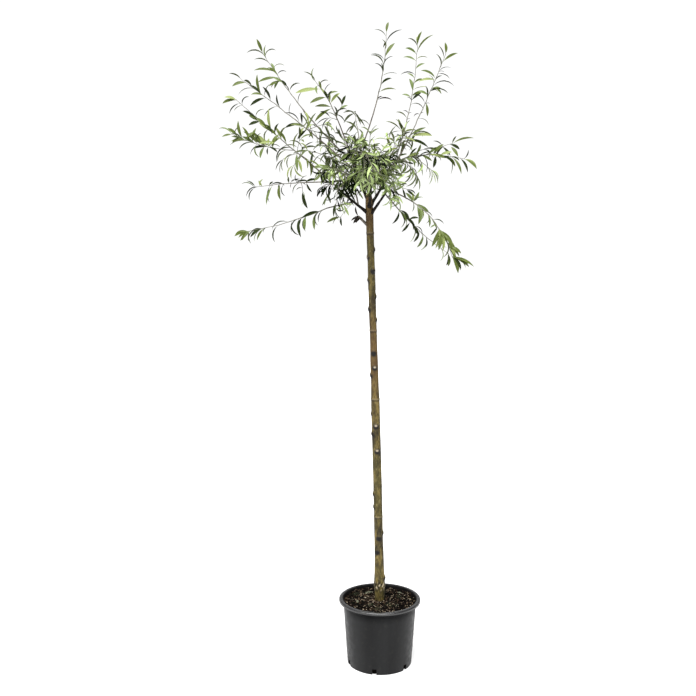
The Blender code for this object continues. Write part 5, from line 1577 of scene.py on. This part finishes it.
def make_crown(boughs):
    """Grows the bare stems, then the shoots one after the other, then the two growths low down."""
    shares = [n / TRUNK_SEGMENTS for n in range(TRUNK_SEGMENTS + 1)]
    limbs = [([trunk_point(share) for share in shares], between(TRUNK_GIRTH, shares))]
    for _, points, radii in boughs.values():
        limbs.append((thinned(points, BOUGH_CHECK), thinned(radii, BOUGH_CHECK)))
    shoots = SHOOTS + BOUGH_ENDS
    bare = Net()
    arcs = []
    for number, shoot in enumerate(shoots):
        arc, low = shoot_arc(shoot, boughs[shoot.bough][0])
        arcs.append((arc, low))
        if shoot.bare:
            points = arc.stretch(0.0, low, STEM_STEP)
            radii = tapered(points, LIMB_RADII)
            tube(bare, points, relief(points, radii, LIMB_RELIEF, number), LIMB_RELIEF[0])
            limbs.append((thinned(points, LIMB_CHECK), thinned(radii, LIMB_CHECK)))
    crown = Crown(limbs)
    for shoot, (arc, low) in zip(shoots, arcs):
        grow_shoot(crown, shoot, arc, low)
    trunk_start = trunk_point((STUB_HEIGHT - SOIL) / TRUNK_LENGTH)
    grow_spray(crown, bare, "low_spray", trunk_start, STUB_TIP, STUB_RADII)
    bough, share = HANGING_FROM
    grow_spray(crown, crown.stems, "hanging_spray", boughs[bough][0].at(share), HANGING_TIP, TWIGLET_RADII)
    crown_pieces(crown, bare)


def crown_pieces(crown, bare):
    """Makes the pieces of the crown: bare stems, leafy stems, twigs, and the leaves of each tint."""
    masses = [shoot.name for shoot in SHOOTS + BOUGH_ENDS] + ["low_spray"]
    bare_nodes = ["stem_" + shoot.name for shoot in SHOOTS]
    grown = stem_finish("stem_bark", (0.040, 0.032, 0.024), (0.130, 0.112, 0.088))
    young = stem_finish("young_bark", (0.070, 0.066, 0.050), (0.165, 0.160, 0.125))
    bare.piece("bare_stems", [grown], "stem", bare_nodes, sharp=80.0)
    crown.stems.piece("leafy_stems", [young], "foliage", masses, sharp=80.0)
    crown.twigs.piece("twigs", [young], "foliage", masses, sharp=80.0)
    for tint, (upper, under) in TINTS.items():
        net = Net()
        leaf_shapes(net, crown.leaves[tint])
        # the dark tints of painted shade hardly shine
        shine = DARK_SHINE if tint in DARK_TINTS else LEAF_SHINE
        materials = [
            leaf_finish(tint + "_upper", upper, UPPER_ROUGHNESS, shine),
            # undersides darker than upper sides: painted shade
            leaf_finish(tint + "_under", under, UNDER_ROUGHNESS, UNDER_SHINE),
        ]
        net.piece("leaves_" + tint, materials, "foliage", masses, sharp=65.0)


def make_camera():
    data = bpy.data.cameras.new("camera")
    data.sensor_width = SENSOR
    data.lens = LENS
    camera = bpy.data.objects.new("camera", data)
    camera.location = CAMERA_PLACE
    camera.rotation_euler = (math.radians(90.0 - CAMERA_DIP), 0.0, 0.0)
    bpy.context.scene.collection.objects.link(camera)
    bpy.context.scene.camera = camera


def make_floor():
    bpy.ops.mesh.primitive_plane_add(size=STUDIO_FLOOR)
    floor = bpy.context.object
    floor.name = "studio_floor"
    finish = Finish("pale_floor", 0.8, FLOOR_GREY)
    floor.data.materials.append(finish.set(Emission_Color=rgba(1.0), Emission_Strength=FLOOR_GLOW))


def make_room():
    """A white wall behind the plant in a room that is brighter on the left."""
    world = bpy.data.worlds.new("studio")
    world.use_nodes = True
    bpy.context.scene.world = world
    tree = world.node_tree
    place = add_node(tree, "TexCoord", "Generated", {})
    x, y, z = (add_node(tree, "SeparateXYZ", axis, {"Vector": place}) for axis in "XYZ")
    fades = []
    for value, (dark, light) in ((y, WALL_SIDES), (z, WALL_TOP)):
        sockets = {"Value": value, "From Min": dark, "From Max": light}
        fades.append(add_node(tree, "MapRange", "Result", sockets))
    wall = add_node(tree, "Math", "Value", dict(enumerate(fades)), operation="MULTIPLY")
    sockets = {"Value": x, "From Min": -1.0, "To Min": ROOM_LIGHTS[0], "To Max": ROOM_LIGHTS[1]}
    room = add_node(tree, "MapRange", "Result", sockets)
    glow = add_node(tree, "MapRange", "Result", {"Value": wall, "To Min": room, "To Max": WALL_LIGHT})
    fill(tree, tree.nodes["Background"], {"Strength": glow, "Color": rgba(1.0)})


def make_sun():
    """A broad high sun from the front left."""
    data = bpy.data.lights.new("key", "SUN")
    data.energy = KEY_POWER
    data.angle = math.radians(KEY_BREADTH)
    key = bpy.data.objects.new("key", data)
    key.rotation_euler = Vector(KEY_FROM).to_track_quat("Z", "Y").to_euler()
    bpy.context.scene.collection.objects.link(key)


bpy.context.scene.view_settings.view_transform = "Standard"
make_camera()
make_floor()
make_room()
make_sun()
make_pot()
make_compost()
make_chips()
make_moss()
make_litter()
make_trunk()
make_crown(make_boughs())
